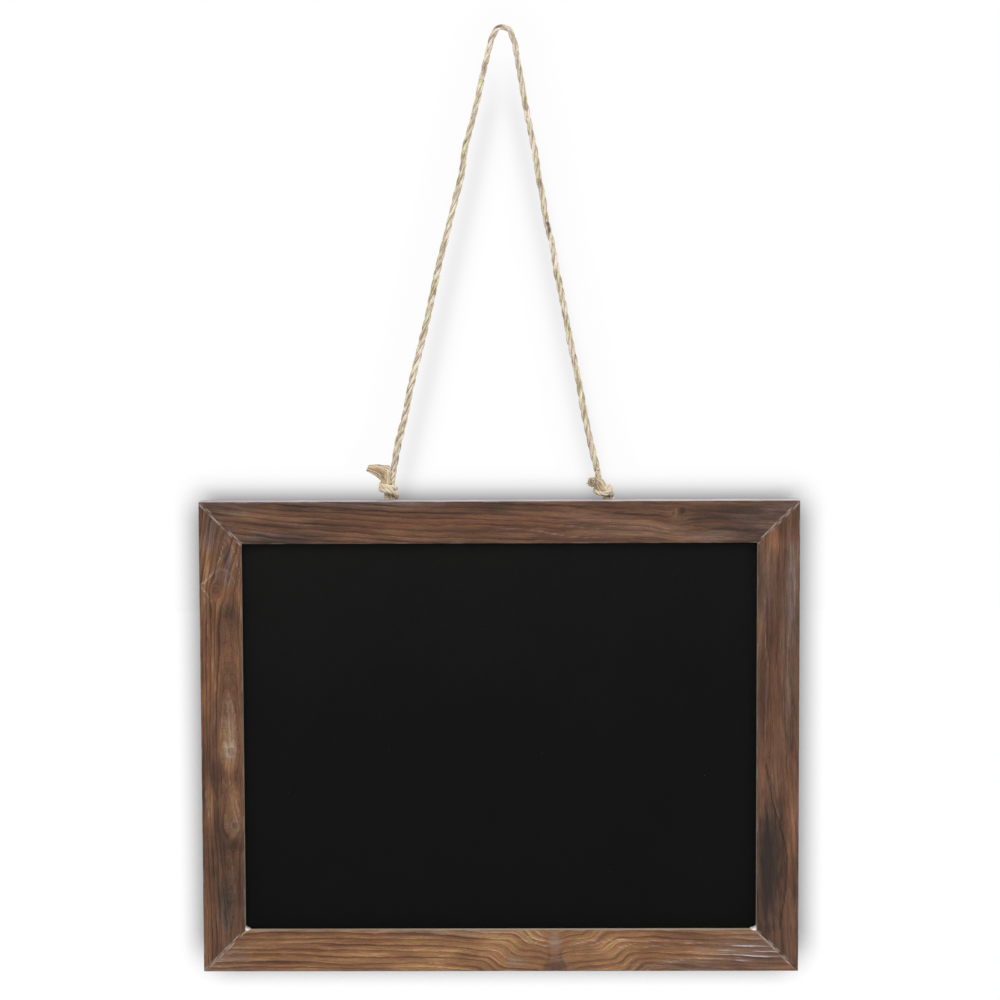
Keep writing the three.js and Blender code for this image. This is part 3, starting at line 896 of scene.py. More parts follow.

# Marks on each member, in mm: along from the member's own start, then across from its outer edge.
# slope: where a growth line starts at the outer edge and how far across it has moved
# dips: along, reach, how far the lines move aside there
# knots: where, reach along on both sides, reach across, growth rings inside, pale halo, dark core
# patches, by kind: along, across, half length, half width, amount
# cracks: points of a dark line, with its depth of colour, or of a pale line if that is negative
# sag: the growth lines drop towards the outer edge by this much on both sides of a knot
# gleams: painted highlights on the growth bands, along, across, half length, half width, amount
# fillers: where along, and which way and how far they reach
MEMBERS = {
    "top_rail": {
        "corner": (-FRAME_W / 2, 0), "across": (0, -1), "length": FRAME_W,
        "spacing": 3.8, "seed": 11.0, "tone": (0.05, 0.05),
        "strength": [(0, 0.75), (200, 0.8), (260, 0.4), (406, 0.45)], "lip": [(0, 0.3), (406, 0.3)],
        "shade": [(0, 0.47), (35, 0.46), (70, 0.46), (150, 0.49), (250, 0.52), (305, 0.50), (406, 0.47)],
        "slope": [(0, 0.0), (60, 6.3), (140, 12.0), (230, 14.5), (300, 17.0), (406, 22.0)],
        "dips": [(324, 14, -1.6)],
        "knots": [
            {"at": (324, 8.5), "long": (4, 5), "wide": 3.2, "core": (326.5, 6.5, 1.5, 0.55)},
        ],
        "patches": {
            "grey": [
                (20, 4, 26, 7, 0.65), (8, 20, 16, 10, 0.4), (115, 2, 60, 3, 0.9), (52, 25, 30, 5, 0.9),
                (300, 20, 50, 5, 0.35), (262, 12, 34, 7, 0.3), (375, 12, 20, 10, 0.8),
                (360, 23, 36, 5, 0.8), (392, 8, 22, 9, 0.9),
            ],
            "dark": [
                (50, 26, 28, 4, 0.5), (205, 4, 60, 3, 0.35), (352, 9, 34, 6, 0.4), (240, 26, 70, 2, 0.35),
            ],
            "light": [
                (36, 8, 22, 5, 0.4), (345, 24, 30, 3, 0.45), (355, 2.5, 24, 1.6, 0.6),
                (290, 20, 50, 6, 0.35),
            ],
            "warm": [
                (150, 14, 70, 8, 0.6), (215, 16, 60, 7, 0.7), (270, 6, 40, 3, 0.5), (316, 12, 5, 3, 0.9),
            ],
        },
        "cracks": [
            ([(222, 2), (250, 3.2), (267, 6), (284, 8.3), (305, 9.9), (318, 10.5)], 0.6),
            ([(42, 1.6), (67, 3.0), (97, 5.4), (124, 6.4), (150, 7.4), (181, 8.4)], 0.5),
            ([(335, 17), (360, 19.5), (388, 23)], 0.5),
            ([(203, 18.2), (225, 19.5), (246, 23.3), (262, 24.8)], -0.5),
            ([(243, 15.8), (262, 18.2), (275, 19.2)], -0.45), ([(196, 20.5), (225, 22.2)], -0.35),
            ([(52, 14.5), (62, 14.8), (78, 16.5)], -0.35), ([(322, 5), (323, 8), (321.5, 11)], -0.35),
        ],
    },
    "right_stile": {
        "corner": (FRAME_W / 2, 0), "across": (-1, 0), "length": FRAME_H,
        "spacing": 5.0, "seed": 23.0, "tone": (0.15, 0.1),
        "strength": [(0, 0.4), (322, 0.36)], "lip": [(0, 0.7), (322, 0.9)],
        "shade": [(15, 0.49), (30, 0.54), (90, 0.50), (130, 0.51), (180, 0.47), (260, 0.43), (310, 0.43)],
        "slope": [(0, 0.0), (120, 1.0), (180, 0.0), (322, -9.0)],
        "patches": {
            "warm": [
                (24, 14, 9, 16, 1.0), (14, 24, 8, 5, 0.7), (130, 20, 60, 6, 0.9), (170, 24, 60, 3, 0.6),
                (215, 6, 60, 6, 0.8),
            ],
            "light": [
                (28, 16, 7, 8, 0.3), (112, 7.5, 50, 3, 0.35), (222, 5, 60, 4.5, 0.45), (290, 6, 30, 5, 0.5),
            ],
            "grey": [
                (70, 6, 55, 6, 0.95), (120, 7, 60, 3.5, 0.8), (60, 22, 26, 6, 0.6), (250, 21, 42, 8, 0.9),
            ],
            "dark": [
                (100, 20, 40, 5, 0.2), (248, 20, 46, 8, 0.95), (300, 24, 16, 5, 0.5), (60, 26, 20, 2, 0.6),
            ],
        },
        "cracks": [
            ([(180, 22), (205, 18), (228, 11), (243, 8), (262, 8.5), (280, 11), (292, 13)], 0.9),
            ([(100, 7.4), (124, 6.3), (147, 2.9)], 0.6),
            ([(67, 22.4), (94, 22.2), (112, 20.4), (162, 22)], 0.45),
            ([(67, 23.6), (94, 23.4), (110, 21.6), (125, 22), (162, 23.2)], -0.5),
            ([(176, 20), (205, 17), (228, 10)], -0.35), ([(40, 3), (72, 4)], -0.4),
        ],
    },
    "bottom_rail": {
        "corner": (FRAME_W / 2, -FRAME_H), "across": (0, 1), "length": FRAME_W,
        "spacing": 3.9, "seed": 37.0, "tone": (0.0, 0.2),
        "strength": [(60, 0.65), (130, 0.85), (250, 0.9), (330, 1.2)],
        "lip": [(30, 1.0), (60, 1.25), (240, 1.2), (330, 0.75), (376, 1.1)],
        "shade": [(20, 0.67), (60, 0.73), (130, 0.75), (166, 0.72), (200, 0.75), (260, 0.73), (390, 0.66)],
        "slope": [(0, -2.5), (60, -1.0), (100, 1.5), (120, 1.0), (215, 0.0), (248, 3.0), (406, 3.5)],
        "dips": [(166, 8, 3.2), (166, 27, 2.4)],
        "sag": {"at": 166, "drop": 7.4, "reach": (58, 47.5), "lean": 1.1, "run": 25},
        "knots": [
            {"at": (165, 1.0), "long": (4, 4), "wide": 4.0},
        ],
        "patches": {
            "grey": [
                (30, 14, 34, 14, 0.65), (70, 4, 34, 4, 0.75), (165.5, 20, 4.6, 8, 0.7), (165, 5, 7, 7, 0.5),
                (392, 10, 20, 12, 0.5), (240, 26.5, 60, 1.6, 0.5), (192, 7, 8, 3, 0.7),
            ],
            "dark": [(70, 4, 30, 3.5, 0.25), (165.5, 3, 6.5, 6.5, 0.6), (225, 12, 8, 4, 0.45)],
            "light": [
                (165.5, 20, 4.4, 7, 0.35), (200, 20, 22, 7, 0.2), (125, 17, 22, 7, 0.2),
                (270, 10, 60, 10, 0.2),
            ],
            "plain": [
                (166, 20, 5, 12, 0.9), (165, 5, 6, 6, 0.6), (188, 15, 14, 7, 0.5), (142, 16, 16, 6, 0.5),
            ],
            "warm": [(300, 14, 70, 8, 0.3), (120, 20, 40, 6, 0.3)],
        },
        "cracks": [
            ([(173.5, 0), (171.3, 5), (169.5, 11), (170.5, 14)], 0.3),
            ([(158, 0), (160.5, 6), (162.3, 11), (161.8, 14)], 0.3),
            ([(155, 18), (148, 20.4), (138, 21.6)], -0.4), ([(142, 18.5), (128, 21.5), (112, 23)], -0.4),
            ([(122, 16.5), (110, 20), (96, 21), (72, 21.2)], -0.45),
            ([(104, 17), (88, 19), (66, 19.4)], -0.4),
            ([(191, 23), (182, 20.5), (172, 17.5)], -0.45), ([(184, 24), (174, 21)], -0.4),
            ([(100, 3.6), (78, 8.4), (40, 9.6)], -0.35), ([(128, 4), (100, 4.4), (88, 8.5)], -0.3),
        ],
        "painted_gleams": [(34, 13, 20, 6, 1.0)],
        "fillers": [(FACE_W + MITRE_SET_BACK, 1), (FRAME_W - FACE_W - MITRE_SET_BACK, -0.8)],
    },
    "left_stile": {
        "corner": (-FRAME_W / 2, -FRAME_H), "across": (1, 0), "length": FRAME_H,
        "spacing": 2.9, "seed": 51.0, "tone": (0.0, 0.1),
        "strength": [(50, 1.0), (80, 0.85), (160, 0.9), (190, 1.1), (250, 1.0), (262, 0.9), (322, 0.9)],
        "lip": [(0, 0.85), (322, 0.6)],
        "shade": [(20, 0.50), (50, 0.41), (80, 0.44), (120, 0.49), (200, 0.50), (262, 0.58), (310, 0.52)],
        "slope": [(0, 0.0), (80, -0.6), (160, 0.4), (240, 0.0), (262, 1.0), (290, 6.0), (322, 11.0)],
        "knots": [
            {"at": (261.5, 11.5), "long": (5.5, 5), "wide": 3.0, "rings": 0.3,
             "core": (261.5, 11.5, 2.0, 0.35)},
            {"at": (152, 19.7), "long": (42, 17), "wide": 6.4, "rings": 0.7, "halo": 0.7, "point": 1.7,
             "core": (152, 20.4, 2.3, 0.6)},
            {"at": (101, 20.8), "long": (30, 9), "wide": 6.2, "rings": 0.7, "halo": 0.65, "point": 1.6,
             "core": (101.3, 22.6, 1.8, 0.9)},
            {"at": (58, 19.3), "long": (20, 12), "wide": 3.0, "rings": 1.0, "halo": 0.3, "point": 1.8},
        ],
        "patches": {
            "light": [
                (152.3, 19.7, 8.4, 5.6, 1.25), (101.5, 22.3, 5.2, 4.6, 1.1), (172, 19, 12, 3, 0.7),
                (117, 20, 10, 3, 0.7), (258, 12, 9, 10, 0.35), (262, 27, 16, 2, 0.5),
                (117, 5, 18, 3.6, 0.7), (205, 10, 30, 3, 0.35), (282, 5, 18, 3, 0.4),
            ],
            "grey": [
                (152.3, 19.7, 8.4, 5.4, 0.7), (101.5, 22.3, 6, 4.6, 0.7), (172, 19, 16, 4, 0.5),
                (284, 19.5, 12, 3.6, 0.9), (271, 18, 7, 6, 0.6), (300, 8, 14, 6, 0.75),
                (46, 17, 26, 7, 0.8),
            ],
            "dark": [
                (285, 19.5, 10, 3, 0.45), (247, 20, 6, 5, 0.4), (302, 10, 12, 6, 0.25),
                (136, 11, 14, 5, 0.6), (92, 13, 20, 6, 0.5), (48, 15, 20, 5, 0.45), (88, 21, 5, 6, 0.5),
                (134, 25, 8, 4, 0.3),
            ],
            "warm": [(258, 11, 6, 5, 0.7), (215, 5, 40, 6, 0.7), (20, 14, 18, 10, 0.15)],
            "plain": [(262, 20, 24, 8, 0.4), (225, 21, 26, 6, 0.6)],
        },
        "cracks": [
            ([(300, 18.3), (283, 13.8), (275, 10), (268, 4), (265.4, 0.2)], -0.65),
            ([(300, 18.3), (290, 23.6), (281, 25.8), (274, 27.5)], -0.5),
            ([(266, 0), (260.5, 4.5), (254, 8.5)], -0.6), ([(257, 3.5), (234, 5.5), (210, 3)], -0.4),
            ([(272, 8), (277, 14), (275, 20), (268, 24)], -0.3), ([(254, 14), (248, 19)], -0.3),
            ([(194, 18.9), (176, 14.5), (160, 13)], -0.3), ([(194, 18.9), (176, 23), (158, 26)], -0.35),
            ([(131, 19.6), (118, 23), (106, 26.5)], -0.35), ([(77, 19.8), (62, 22), (46, 22.8)], -0.35),
            ([(124, 2.5), (108, 4.5)], -0.4), ([(228, 8), (196, 9.5), (168, 9)], -0.3),
        ],
    },
}


def along_member(pairs, w):
    """The value at w of a list of places along the member and their values."""
    return float(np.interp(w, *zip(*pairs)))


def arc():
    """The points of a quarter turn of the arris between its ends, as distances from its corner."""
    for k in range(1, RIM_STEPS):
        angle = 0.5 * math.pi * k / RIM_STEPS
        yield ARRIS_R * (1 - math.cos(angle)), ARRIS_R * (1 - math.sin(angle))


def profile():
    """The moulding's outline as across and depth, from the back of the outer edge and round."""
    back_v = FRAME_D - BACK_RECESS
    points = [(0.0, v) for v in np.linspace(back_v, ARRIS_R, OUTER_CELLS + 1)]
    points += arc()
    points += [(u, 0.0) for u in np.linspace(ARRIS_R, FACE_W - ARRIS_R, FRONT_CELLS + 1)]
    points += [(FACE_W - v, u) for u, v in arc()]
    points += [(FACE_W, v) for v in np.linspace(ARRIS_R, LIP_T, LIP_CELLS + 1)]
    points += [(u, LIP_T) for u in (FACE_W - 2.3, FACE_W - 4.7, RABBET_AT)]
    points += [(RABBET_AT, v) for v in np.linspace(LIP_T, back_v, RABBET_CELLS + 1)[1:]]
    points += [(u, back_v) for u in np.linspace(RABBET_AT, 0, BACK_CELLS + 1)[1:-1]]
    return points


def unrolled(u, v):
    """Where a point lies if the skin is opened out flat round the outer and inner edges."""
    if v >= FRAME_D - BACK_RECESS - 0.01:
        return u + BACK_UNROLLED
    if v >= LIP_T - 0.01 and u > 0.01:
        return u + v + RABBET_UNROLLED
    if u <= ARRIS_R:
        return u - v
    if u >= FACE_W - ARRIS_R:
        return u + v
    return u


def waver(x, length, y, width, seed):
    """Smooth noise from about -1 to 1 that changes over these lengths."""
    return noise.noise(Vector((x / length, y / width, seed)))


def knot_reach(knot, w, q):
    """Distance from a knot, where 1 is the edge of the wood that flows round it."""
    dw, dq = w - knot["at"][0], q - knot["at"][1]
    half_l = knot["long"][0] if dw > 0 else knot["long"][1]
    point = knot.get("point", 1.0)
    return math.sqrt((abs(dw) / half_l) ** (2 / point) + (dq / knot["wide"]) ** 2)


def ring_field(spec, w, q):
    """Which growth ring a point is in, after the slope, the dips and the knots."""
    g = q - along_member(spec["slope"], w)
    for at, width, amount in spec.get("dips", ()):
        g += amount * math.exp(-((w - at) / width) ** 2)
    sag = spec.get("sag")
    if sag:
        reach = sag["reach"][0 if w < sag["at"] else 1] - sag["lean"] * q
        g += sag["drop"] * ease(0.5 + (reach - abs(w - sag["at"])) / sag["run"])
    for knot in spec.get("knots", ()):
        r = knot_reach(knot, w, q)
        g -= (q - knot["at"][1]) * min(1.0, 1.0 / max(r * r, 1e-6))
        if r < 1:
            g += (1 - r) * knot.get("rings", 0.0) * spec["spacing"]
    g += 1.5 * waver(w, 75, q, 18, spec["seed"])
    g += 0.45 * waver(w, 17, q, 6, spec["seed"] + 5)
    return g / spec["spacing"]


def near_line(points, w, q):
    """Distance from a line of points, with less weight along the member."""
    best = 1e9
    for (w0, q0), (w1, q1) in zip(points, points[1:]):
        dw, dq = w1 - w0, q1 - q0
        t = min(1.0, max(0.0, ((w - w0) * dw + (q - q0) * dq) / (dw * dw + dq * dq)))
        best = min(best, math.hypot((w - w0 - t * dw) * 0.35, q - q0 - t * dq))
    return best


def member_marks(spec, w, q):
    """How dark, light, grey, warm, plain and cracked the stain is at a point."""
    found = {"dark": 0.0, "light": 0.0, "plain": 0.0, "grey": spec["tone"][0], "warm": spec["tone"][1]}
    seed = spec["seed"]
    ragged = 1 + 0.55 * waver(w, 9, q, 2.6, seed + 9)
    for kind, patches in spec["patches"].items():
        for at, mid, half_l, half_w, amount in patches:
            r = math.hypot((w - at) / half_l, (q - mid) / half_w) * ragged
            found[kind] = max(found[kind], amount * ease(1.35 - r))
    core = 0.0
    for knot in spec.get("knots", ()):
        r = knot_reach(knot, w, q) * (0.8 + 0.2 * ragged)
        halo = knot.get("halo", 0.0) * ease((1.15 - r) / 0.4)
        found["light"] = max(found["light"], halo)
        found["dark"] *= 1 - halo
        if "core" in knot:
            cw, cq, radius, depth = knot["core"]
            c = math.hypot((w - cw) / 1.15, q - cq) / radius
            core = max(core, depth * ease((1.35 - c) / 0.6) * (0.8 + 0.2 * math.cos(c * 6.5)))
    crack = 0.0
    for points, amount in spec["cracks"]:
        gap = near_line(points, w, q + 0.5 * waver(w, 6, 0, 1, seed))
        half_w = DARK_CRACK_HALF_W if amount > 0 else PALE_CRACK_HALF_W
        line = amount * ease(1 - gap / half_w)
        crack = line if abs(line) > abs(crack) else crack
    return found, core, crack


def wood_material():
    g = Graph("stained_wood")
    ring, along, seed = g.attribute("grain")
    dark, light, grey = g.attribute("tone")
    warm, core, wear = g.attribute("wear")
    strength, raw, flow = g.attribute("kind")
    shade, crack, painted_gleam = g.attribute("shade")

    def spots(x, y, z, detail, rough):
        return g.noise(g.vector(x, y, z), detail, rough)

    fine = {
        name: g.add(spots(g.mul(along, a), g.mul(flow, b), g.add(seed, shift), detail, rough), -0.5)
        for name, (a, b, detail, rough, shift) in GRAIN.items()
    }
    uneven = g.add(spots(g.mul(along, 0.004), g.mul(ring, 0.8), seed, 1.0, 0.5), -0.5)
    moved = g.add(ring, g.mul(fine["wobble"], 0.9), g.mul(fine["frizz"], 0.2), g.mul(uneven, 0.8))
    phase = g.math("FRACT", moved)
    force = spots(g.mul(along, 0.009), g.mul(g.math("FLOOR", moved), 3.7), seed, 2.0, 0.6)
    late = g.mul(g.mul(g.ramp(phase, LATEWOOD), g.ramp(force, [(0.30, 0.25), (0.62, 1.0)])), strength)
    blotch, streak, fleck, pore = (fine[name] for name in ("blotch", "streak", "fleck", "pore"))
    speckle = g.add(spots(g.mul(along, 1.2), g.mul(flow, 1.4), seed, 3.0, 0.65), -0.5)
    scratch = g.ramp(fine["scratch"], [(0.17, 0.0), (0.25, 1.0)])
    speck = g.ramp(spots(g.mul(along, 1.1), g.mul(flow, 1.5), seed, 2.0, 0.5), [(0.755, 0.0), (0.80, 1.0)])
    value = g.add(
        shade, -0.085, g.mul(late, -0.30), g.mul(strength, 0.09),
        g.mul(blotch, 0.80), g.mul(streak, 0.46), g.mul(fleck, 0.62), g.mul(pore, 0.42), g.mul(speckle, 0.40),
        g.mul(light, 0.25), g.mul(dark, -0.30), g.mul(core, -0.42), g.mul(crack, -0.42),
        g.mul(scratch, 0.16), g.mul(speck, 0.45),
    )
    brown = g.ramp(value, BROWN)
    greyed = g.ramp(value, GREYED)
    colour = g.mix(g.mul(warm, 0.75), brown, g.times(brown, WOOD_WARM))
    colour = g.mix(g.mul(light, 0.6), colour, g.times(brown, WOOD_LIGHT))
    veil = g.ramp(g.add(g.mul(blotch, 0.8), streak), [(0.0, 0.55), (0.12, 1.0)])
    colour = g.mix(g.mul(g.mul(grey, 0.85), veil), colour, greyed)
    hue = g.ramp(g.add(fine["hue"], 0.5), [(0.40, 0.0), (0.60, 1.0)])
    colour = g.mix(hue, g.times(colour, WOOD_OLIVE), g.times(colour, WOOD_RED))
    colour = g.mix(g.math("MULTIPLY", crack, -1.3, clamp=True), colour, greyed)
    colour = g.tint(g.mul(late, 0.85), colour, WOOD_LATE)
    colour = g.mix(g.math("MULTIPLY", raw, 0.8, clamp=True), colour, WOOD_RAW)
    colour = g.mix(g.math("GREATER_THAN", raw, FILLER_RAW - 0.1), colour, WOOD_FILLER)
    # Painted highlight: a pale lavender sheen on the top face of the top rail, and on the growth bands of a
    # patch of the bottom rail.
    sparse = g.ramp(g.add(fleck, streak), [(0.0, 1.0), (0.13, 0.0)])
    top_painted_gleam = g.math("SUBTRACT", painted_gleam, g.mul(sparse, g.math("SUBTRACT", 1.25, painted_gleam)), clamp=True)
    colour = g.mix(top_painted_gleam, colour, TOP_PAINTED_GLEAM)
    pale_rings = g.ramp(phase, [(0.0, 1.0), (0.25, 0.8), (0.42, 0.0)])
    bands = g.mul(pale_rings, g.ramp(streak, [(-0.06, 0.0), (0.04, 1.0)]))
    band_painted_gleam = g.math("MULTIPLY", g.positive(g.mul(painted_gleam, -1.0)), bands, clamp=True)
    colour = g.mix(band_painted_gleam, colour, BAND_PAINTED_GLEAM)
    flake = g.ramp(fine["flake"], [(0.0, 0.0), (0.09, 1.0)])
    rub = g.math("MULTIPLY", wear, g.add(g.mul(flake, 0.6), 0.4), clamp=True)
    colour = g.mix(rub, colour, WOOD_WORN)
    height = g.add(g.mul(late, -0.5), g.mul(fleck, 0.8), g.mul(pore, 0.6))
    rough = g.add(0.52, g.mul(late, -0.08), g.mul(fleck, 0.3))
    g.set(Base_Color=colour, Roughness=rough, Normal=g.bump(height, 0.18 * MM, 0.7), Specular_IOR_Level=0.3)
    return g.material


wood = wood_material()


def member_stations(length):
    """Distances along a member's middle, closer at both ends."""
    near_end = [0.0, 0.35, 0.9]
    middle = np.linspace(END_L, length - END_L, int((length - 2 * END_L) / STATION_PITCH) + 1)
    return [*near_end, *middle, *(length - e for e in reversed(near_end))]


def front_dent(w, u, gap, rim, seed):
    """How deep the front is worn here. gap and rim are the distances to a mitre and to an edge."""
    edge = ease(1 - rim / 3.2)
    rough = waver(w, 6.5, u, 9, seed + 30)
    nick = max(0.0, waver(w, 2.6, u, 20, seed + 40) - 0.28)
    dent = edge * (0.10 * rough + 0.05 + 1.1 * nick)
    dent += ease(1 - gap / 0.9) * (0.16 + 0.5 * nick)
    return dent + 0.07 * waver(w, 26, u, 8, seed + 50)


def edge_wear(w, u, v, gap, rim, seed):
    """How far the stain has worn off, at the mitres and on the arrises."""
    at_mitre = ease(1.25 - gap / 1.5) if v < LIP_T else 0.0
    chip = ease((waver(w, 5, u, 5, seed + 70) + 0.3) * 2)
    on_arris = ease(1 - rim / 0.9) if v <= ARRIS_R else 0.0
    rubbed = ease((waver(w, 12, u, 30, seed + 80) + 0.1) * 2.2)
    return max(at_mitre * chip * 0.9, on_arris * rubbed * 0.45)


def member_painted_gleam(name, spec, w, q, u, v):
    """Painted highlight: a pale gleam on the top edge, and below 0 on the growth bands of a worn patch."""
    painted_gleam = 0.0
    if name == "top_rail" and v < FRAME_D - 1 and u < 0.01:
        painted_gleam = 0.93 + 0.12 * waver(w, 22, v, 9, spec["seed"] + 90)
    for at, mid, half_l, half_w, amount in spec.get("painted_gleams", ()):
        painted_gleam = min(painted_gleam, -amount * ease(1.4 - math.hypot((w - at) / half_l, (q - mid) / half_w)))
    return painted_gleam


def dress_member(name, spec):
    outline = profile()
    size = len(outline)
    corner = np.array([BOARD_SHIFT + spec["corner"][0], FRONT_Y, TOP_Z + spec["corner"][1]])
    across = np.array([spec["across"][0], 0.0, spec["across"][1]])
    depth = np.array([0.0, 1.0, 0.0])
    along = np.cross(across, depth)
    length = spec["length"]
    seed = spec["seed"]
    stations = member_stations(length)
    verts, faces = [], []
    marks = {"grain": [], "tone": [], "wear": [], "kind": [], "shade": []}

    def add_vertex(u, v, w, *values):
        verts.append((corner + across * u + depth * v + along * w) * MM)
        for store, value in zip(marks.values(), values):
            store.append(value)

    for s in stations:
        for u, v in outline:
            start, end = u + MITRE_SET_BACK, length - u - MITRE_SET_BACK
            w = start + (end - start) * (s / length)
            if s <= END_L:
                w = start + s
            if s >= length - END_L:
                w = end - (length - s)
            q = unrolled(u, v)
            rim = min(abs(u), abs(FACE_W - u)) if v < LIP_T else 9.0
            gap = min(w - start, end - w)
            dent = front_dent(w, u, gap, rim, seed) if v <= ARRIS_R else 0.0
            side = 0.0
            if u <= 0.01 or (u < ARRIS_R and v < ARRIS_R):
                side = 0.10 * waver(w, 31, v, 9, seed + 60) + 0.06
            found, core, crack = member_marks(spec, w, q)
            ring = ring_field(spec, w, q)
            is_lip = u >= FACE_W - 0.01 and ARRIS_R <= v <= LIP_T
            pale = along_member(spec["lip"], w) if is_lip else 0.0
            bare_back = 0.35 if v > FRAME_D - 1 else 0.0
            strength = along_member(spec["strength"], w) * (1 - found["plain"])
            add_vertex(
                u + side, v + max(0.0, dent + 0.04), w,
                (ring, w, seed),
                (found["dark"], found["light"], found["grey"]),
                (found["warm"], core, edge_wear(w, u, v, gap, rim, seed)),
                (strength, max(pale, bare_back), ring * spec["spacing"]),
                (along_member(spec["shade"], w), crack, member_painted_gleam(name, spec, w, q, u, v)),
            )
    # Where the growth lines lie flat to the face, they fade
    rings = np.array([flow for _, _, flow in marks["kind"]]).reshape(-1, size)
    skin = np.array([unrolled(u, v) for u, v in outline])
    steep = np.hypot(np.gradient(rings, axis=0) / STATION_PITCH, np.gradient(rings, skin, axis=1)).ravel()
    marks["kind"] = [
        (strength * ease((slope - 0.2) / 0.5), raw, flow)
        for (strength, raw, flow), slope in zip(marks["kind"], steep)
    ]
    for i in range(len(stations) - 1):
        for k in range(size):
            a, b = i * size + k, i * size + (k + 1) % size
            faces.append((a, a + size, b + size, b))
    last = (len(stations) - 1) * size
    faces.append(tuple(range(size)))
    faces.append(tuple(reversed(range(last, last + size))))
    for w, reach in spec.get("fillers", ()):
        base, count = len(verts), len(FILLER_OUTLINE)
        for v, scale in FILLER_ROWS:
            for dw, du in FILLER_OUTLINE:
                add_vertex(
                    FACE_W + du * scale, v, w + reach * dw * scale,
                    (0.3 * v, dw, seed), (0.0, 0.0, 0.0), (0.0, 0.0, 0.0),
                    (0.0, FILLER_RAW, du), (0.6, 0.0, 0.0),
                )
        for i in range(len(FILLER_ROWS) - 1):
            for k in range(count):
                a, b = base + i * count + k, base + i * count + (k + 1) % count
                faces.append((a, b, b + count, a + count) if reach > 0 else (a, a + count, b + count, b))
        caps = [tuple(range(base, base + count)), tuple(reversed(range(len(verts) - count, len(verts))))]
        faces.extend(cap[::-1] if reach > 0 else cap for cap in caps)
    piece = new_piece(name + "_wood", verts, faces, wood, "board")
    for layer, values in marks.items():
        add_vectors(piece, layer, values)
    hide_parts(name)


for member_name, member_spec in MEMBERS.items():
    dress_member(member_name, member_spec)


# Panel: matte black chalk paint on the face, bare brown hardboard on the back and edges

PAINT = [(0.30, srgb(7, 7, 7)), (0.5, srgb(14, 14, 14)), (0.72, srgb(24, 24, 23))]
CHALK_SPECK = srgb(120, 120, 116)
HARDBOARD = [(0.3, srgb(86, 62, 42)), (0.5, srgb(118, 88, 60)), (0.72, srgb(146, 114, 80))]
ZINC = [(0.3, srgb(150, 152, 152)), (0.55, srgb(186, 188, 188)), (0.75, srgb(208, 206, 196))]


def panel_material():
    g = Graph("chalk_surface")
    place = g.coords()
    x, _, z = g.split(place)
    cloud = g.noise(place, 3.0, 0.5, scale=5.0)
    grit = g.noise(place, 3.0, 0.7, scale=900.0)
    speck = g.ramp(g.noise(place, 2.0, 0.5, scale=260.0), [(0.76, 0.0), (0.80, 1.0)])
    wipe = g.noise(g.vector(g.mul(x, 9.0), 0.0, g.mul(z, 220.0)), 3.0, 0.6)
    scratch = g.mul(g.ramp(wipe, [(0.70, 0.0), (0.76, 1.0)]), g.ramp(cloud, [(0.5, 0.0), (0.7, 0.5)]))
    # Painted highlight: the paint is lighter towards the top, a painted sheen from the light above, along
    # with the chalk dust's clouds and grit.
    rising_sheen = g.fit(z, (TOP_Z - FRAME_H) * MM, TOP_Z * MM)
    dust_and_sheen = g.add(g.mul(rising_sheen, 0.30), g.mul(cloud, 0.30), g.mul(grit, 0.40))
    face = g.mix(g.add(g.mul(speck, 0.35), g.mul(scratch, 0.22)), g.ramp(dust_and_sheen, PAINT), CHALK_SPECK)
    fibres = g.noise(place, 5.0, 0.7, scale=420.0)
    behind_paint = g.ramp(g.split(g.coords("Generated"))[1], [(0.10, 0.0), (0.16, 1.0)])
    g.set(
        Base_Color=g.mix(behind_paint, face, g.ramp(fibres, HARDBOARD)),
        Roughness=g.ramp(dust_and_sheen, [(0.3, 0.82), (0.7, 0.95)]),
        Normal=g.bump(g.add(grit, g.mul(fibres, 0.5)), 0.05 * MM, 0.5), Specular_IOR_Level=0.1,
    )
    return g.material


def zinc_material():
    g = Graph("zinc_steel")
    place = g.coords()
    spangle = g.noise(place, 3.0, 0.6, scale=380.0)
    scratch = g.noise(place, 3.0, 0.7, scale=1900.0)
    rough = g.ramp(g.add(g.mul(spangle, 0.6), g.mul(scratch, 0.4)), [(0.3, 0.28), (0.7, 0.48)])
    g.set(
        Base_Color=g.ramp(spangle, ZINC), Roughness=rough, Metallic=1.0,
        Normal=g.bump(scratch, 0.02 * MM, 0.5),
    )
    return g.material


def repaint(node, material):
    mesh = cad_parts[node].data
    mesh.materials.clear()
    mesh.materials.append(material)


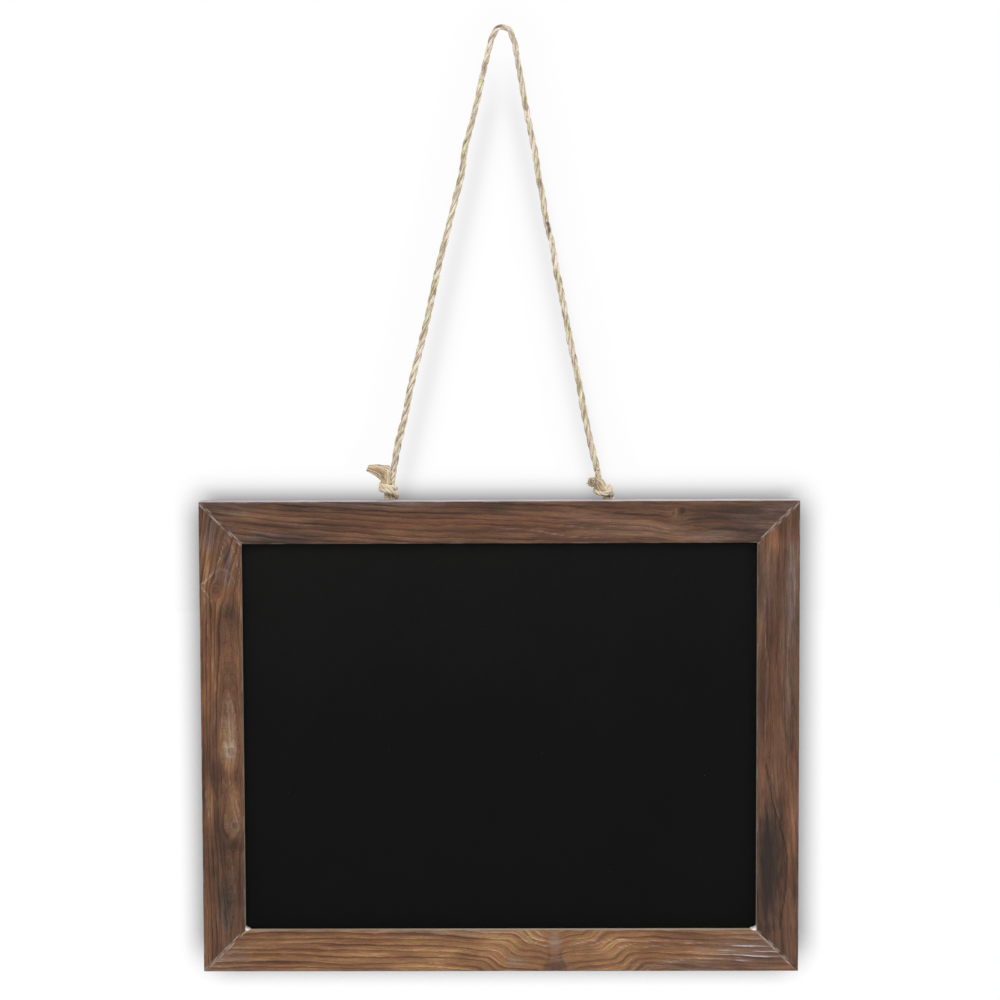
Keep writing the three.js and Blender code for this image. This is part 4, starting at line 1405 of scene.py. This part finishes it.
zinc = zinc_material()
repaint("chalkboard_panel", panel_material())
for node_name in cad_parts:
    if "_point_" in node_name or node_name.endswith("_vnail"):
        repaint(node_name, zinc)


# Screw eyes, with the wire's open end and the thread

EYE_SIDES = 14
EYE_OPEN_DEG = 16
EYE_STEPS = 56
EYE_CORE_R = EYE_SHANK_R * 0.8
EYE_POINT_R = 0.06
THREAD_REACH = EYE_SHANK_R * 0.86
THREAD_R = 0.22
THREAD_SIDES = 5
THREAD_TURNS = 8
THREAD_STEPS = 16


def dress_eye(side, eye_x):
    ring = []
    for k in range(EYE_STEPS + 1):
        angle = math.radians(EYE_OPEN_DEG / 2 - 90 + (360 - EYE_OPEN_DEG) * k / EYE_STEPS)
        ring.append((0.0, EYE_RING_R * math.sin(angle), EYE_RING_R * math.cos(angle)))
    tip = BACK_Y - EYE_BITE
    stem = np.array([(0, y, 0) for y in np.linspace(0.6 - EYE_RING_R, tip, 40)])

    def taper(y):
        return min(1.0, (y - tip) / EYE_TIP_L)

    radii = [EYE_WIRE_R if y > BACK_Y else max(EYE_POINT_R, EYE_CORE_R * taper(y)) for y in stem[:, 1]]
    thread = []
    for k in range(THREAD_TURNS * THREAD_STEPS + 1):
        y = BACK_Y - 0.4 - (EYE_BITE - 1.6) * k / (THREAD_TURNS * THREAD_STEPS)
        angle = 2 * math.pi * k / THREAD_STEPS
        reach = THREAD_REACH * taper(y)
        thread.append((reach * math.cos(angle), y, reach * math.sin(angle)))
    verts, faces = [], []
    for points, thick, sides in (
        (ring, [EYE_WIRE_R] * len(ring), EYE_SIDES),
        (stem, radii, EYE_SIDES),
        (thread, [THREAD_R] * len(thread), THREAD_SIDES),
    ):
        more, more_faces = tube(np.array(points), thick, sides)
        faces.extend(tuple(len(verts) + i for i in face) for face in more_faces)
        verts.extend(more)
    verts = np.array(verts) + np.array([eye_x, 0, EYE_Z])
    piece = new_piece(side + "_screw_eye_steel", verts * MM, faces, zinc, "board")
    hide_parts(side + "_screw_eye")


dress_eye("left", LEFT_EYE_X)
dress_eye("right", RIGHT_EYE_X)
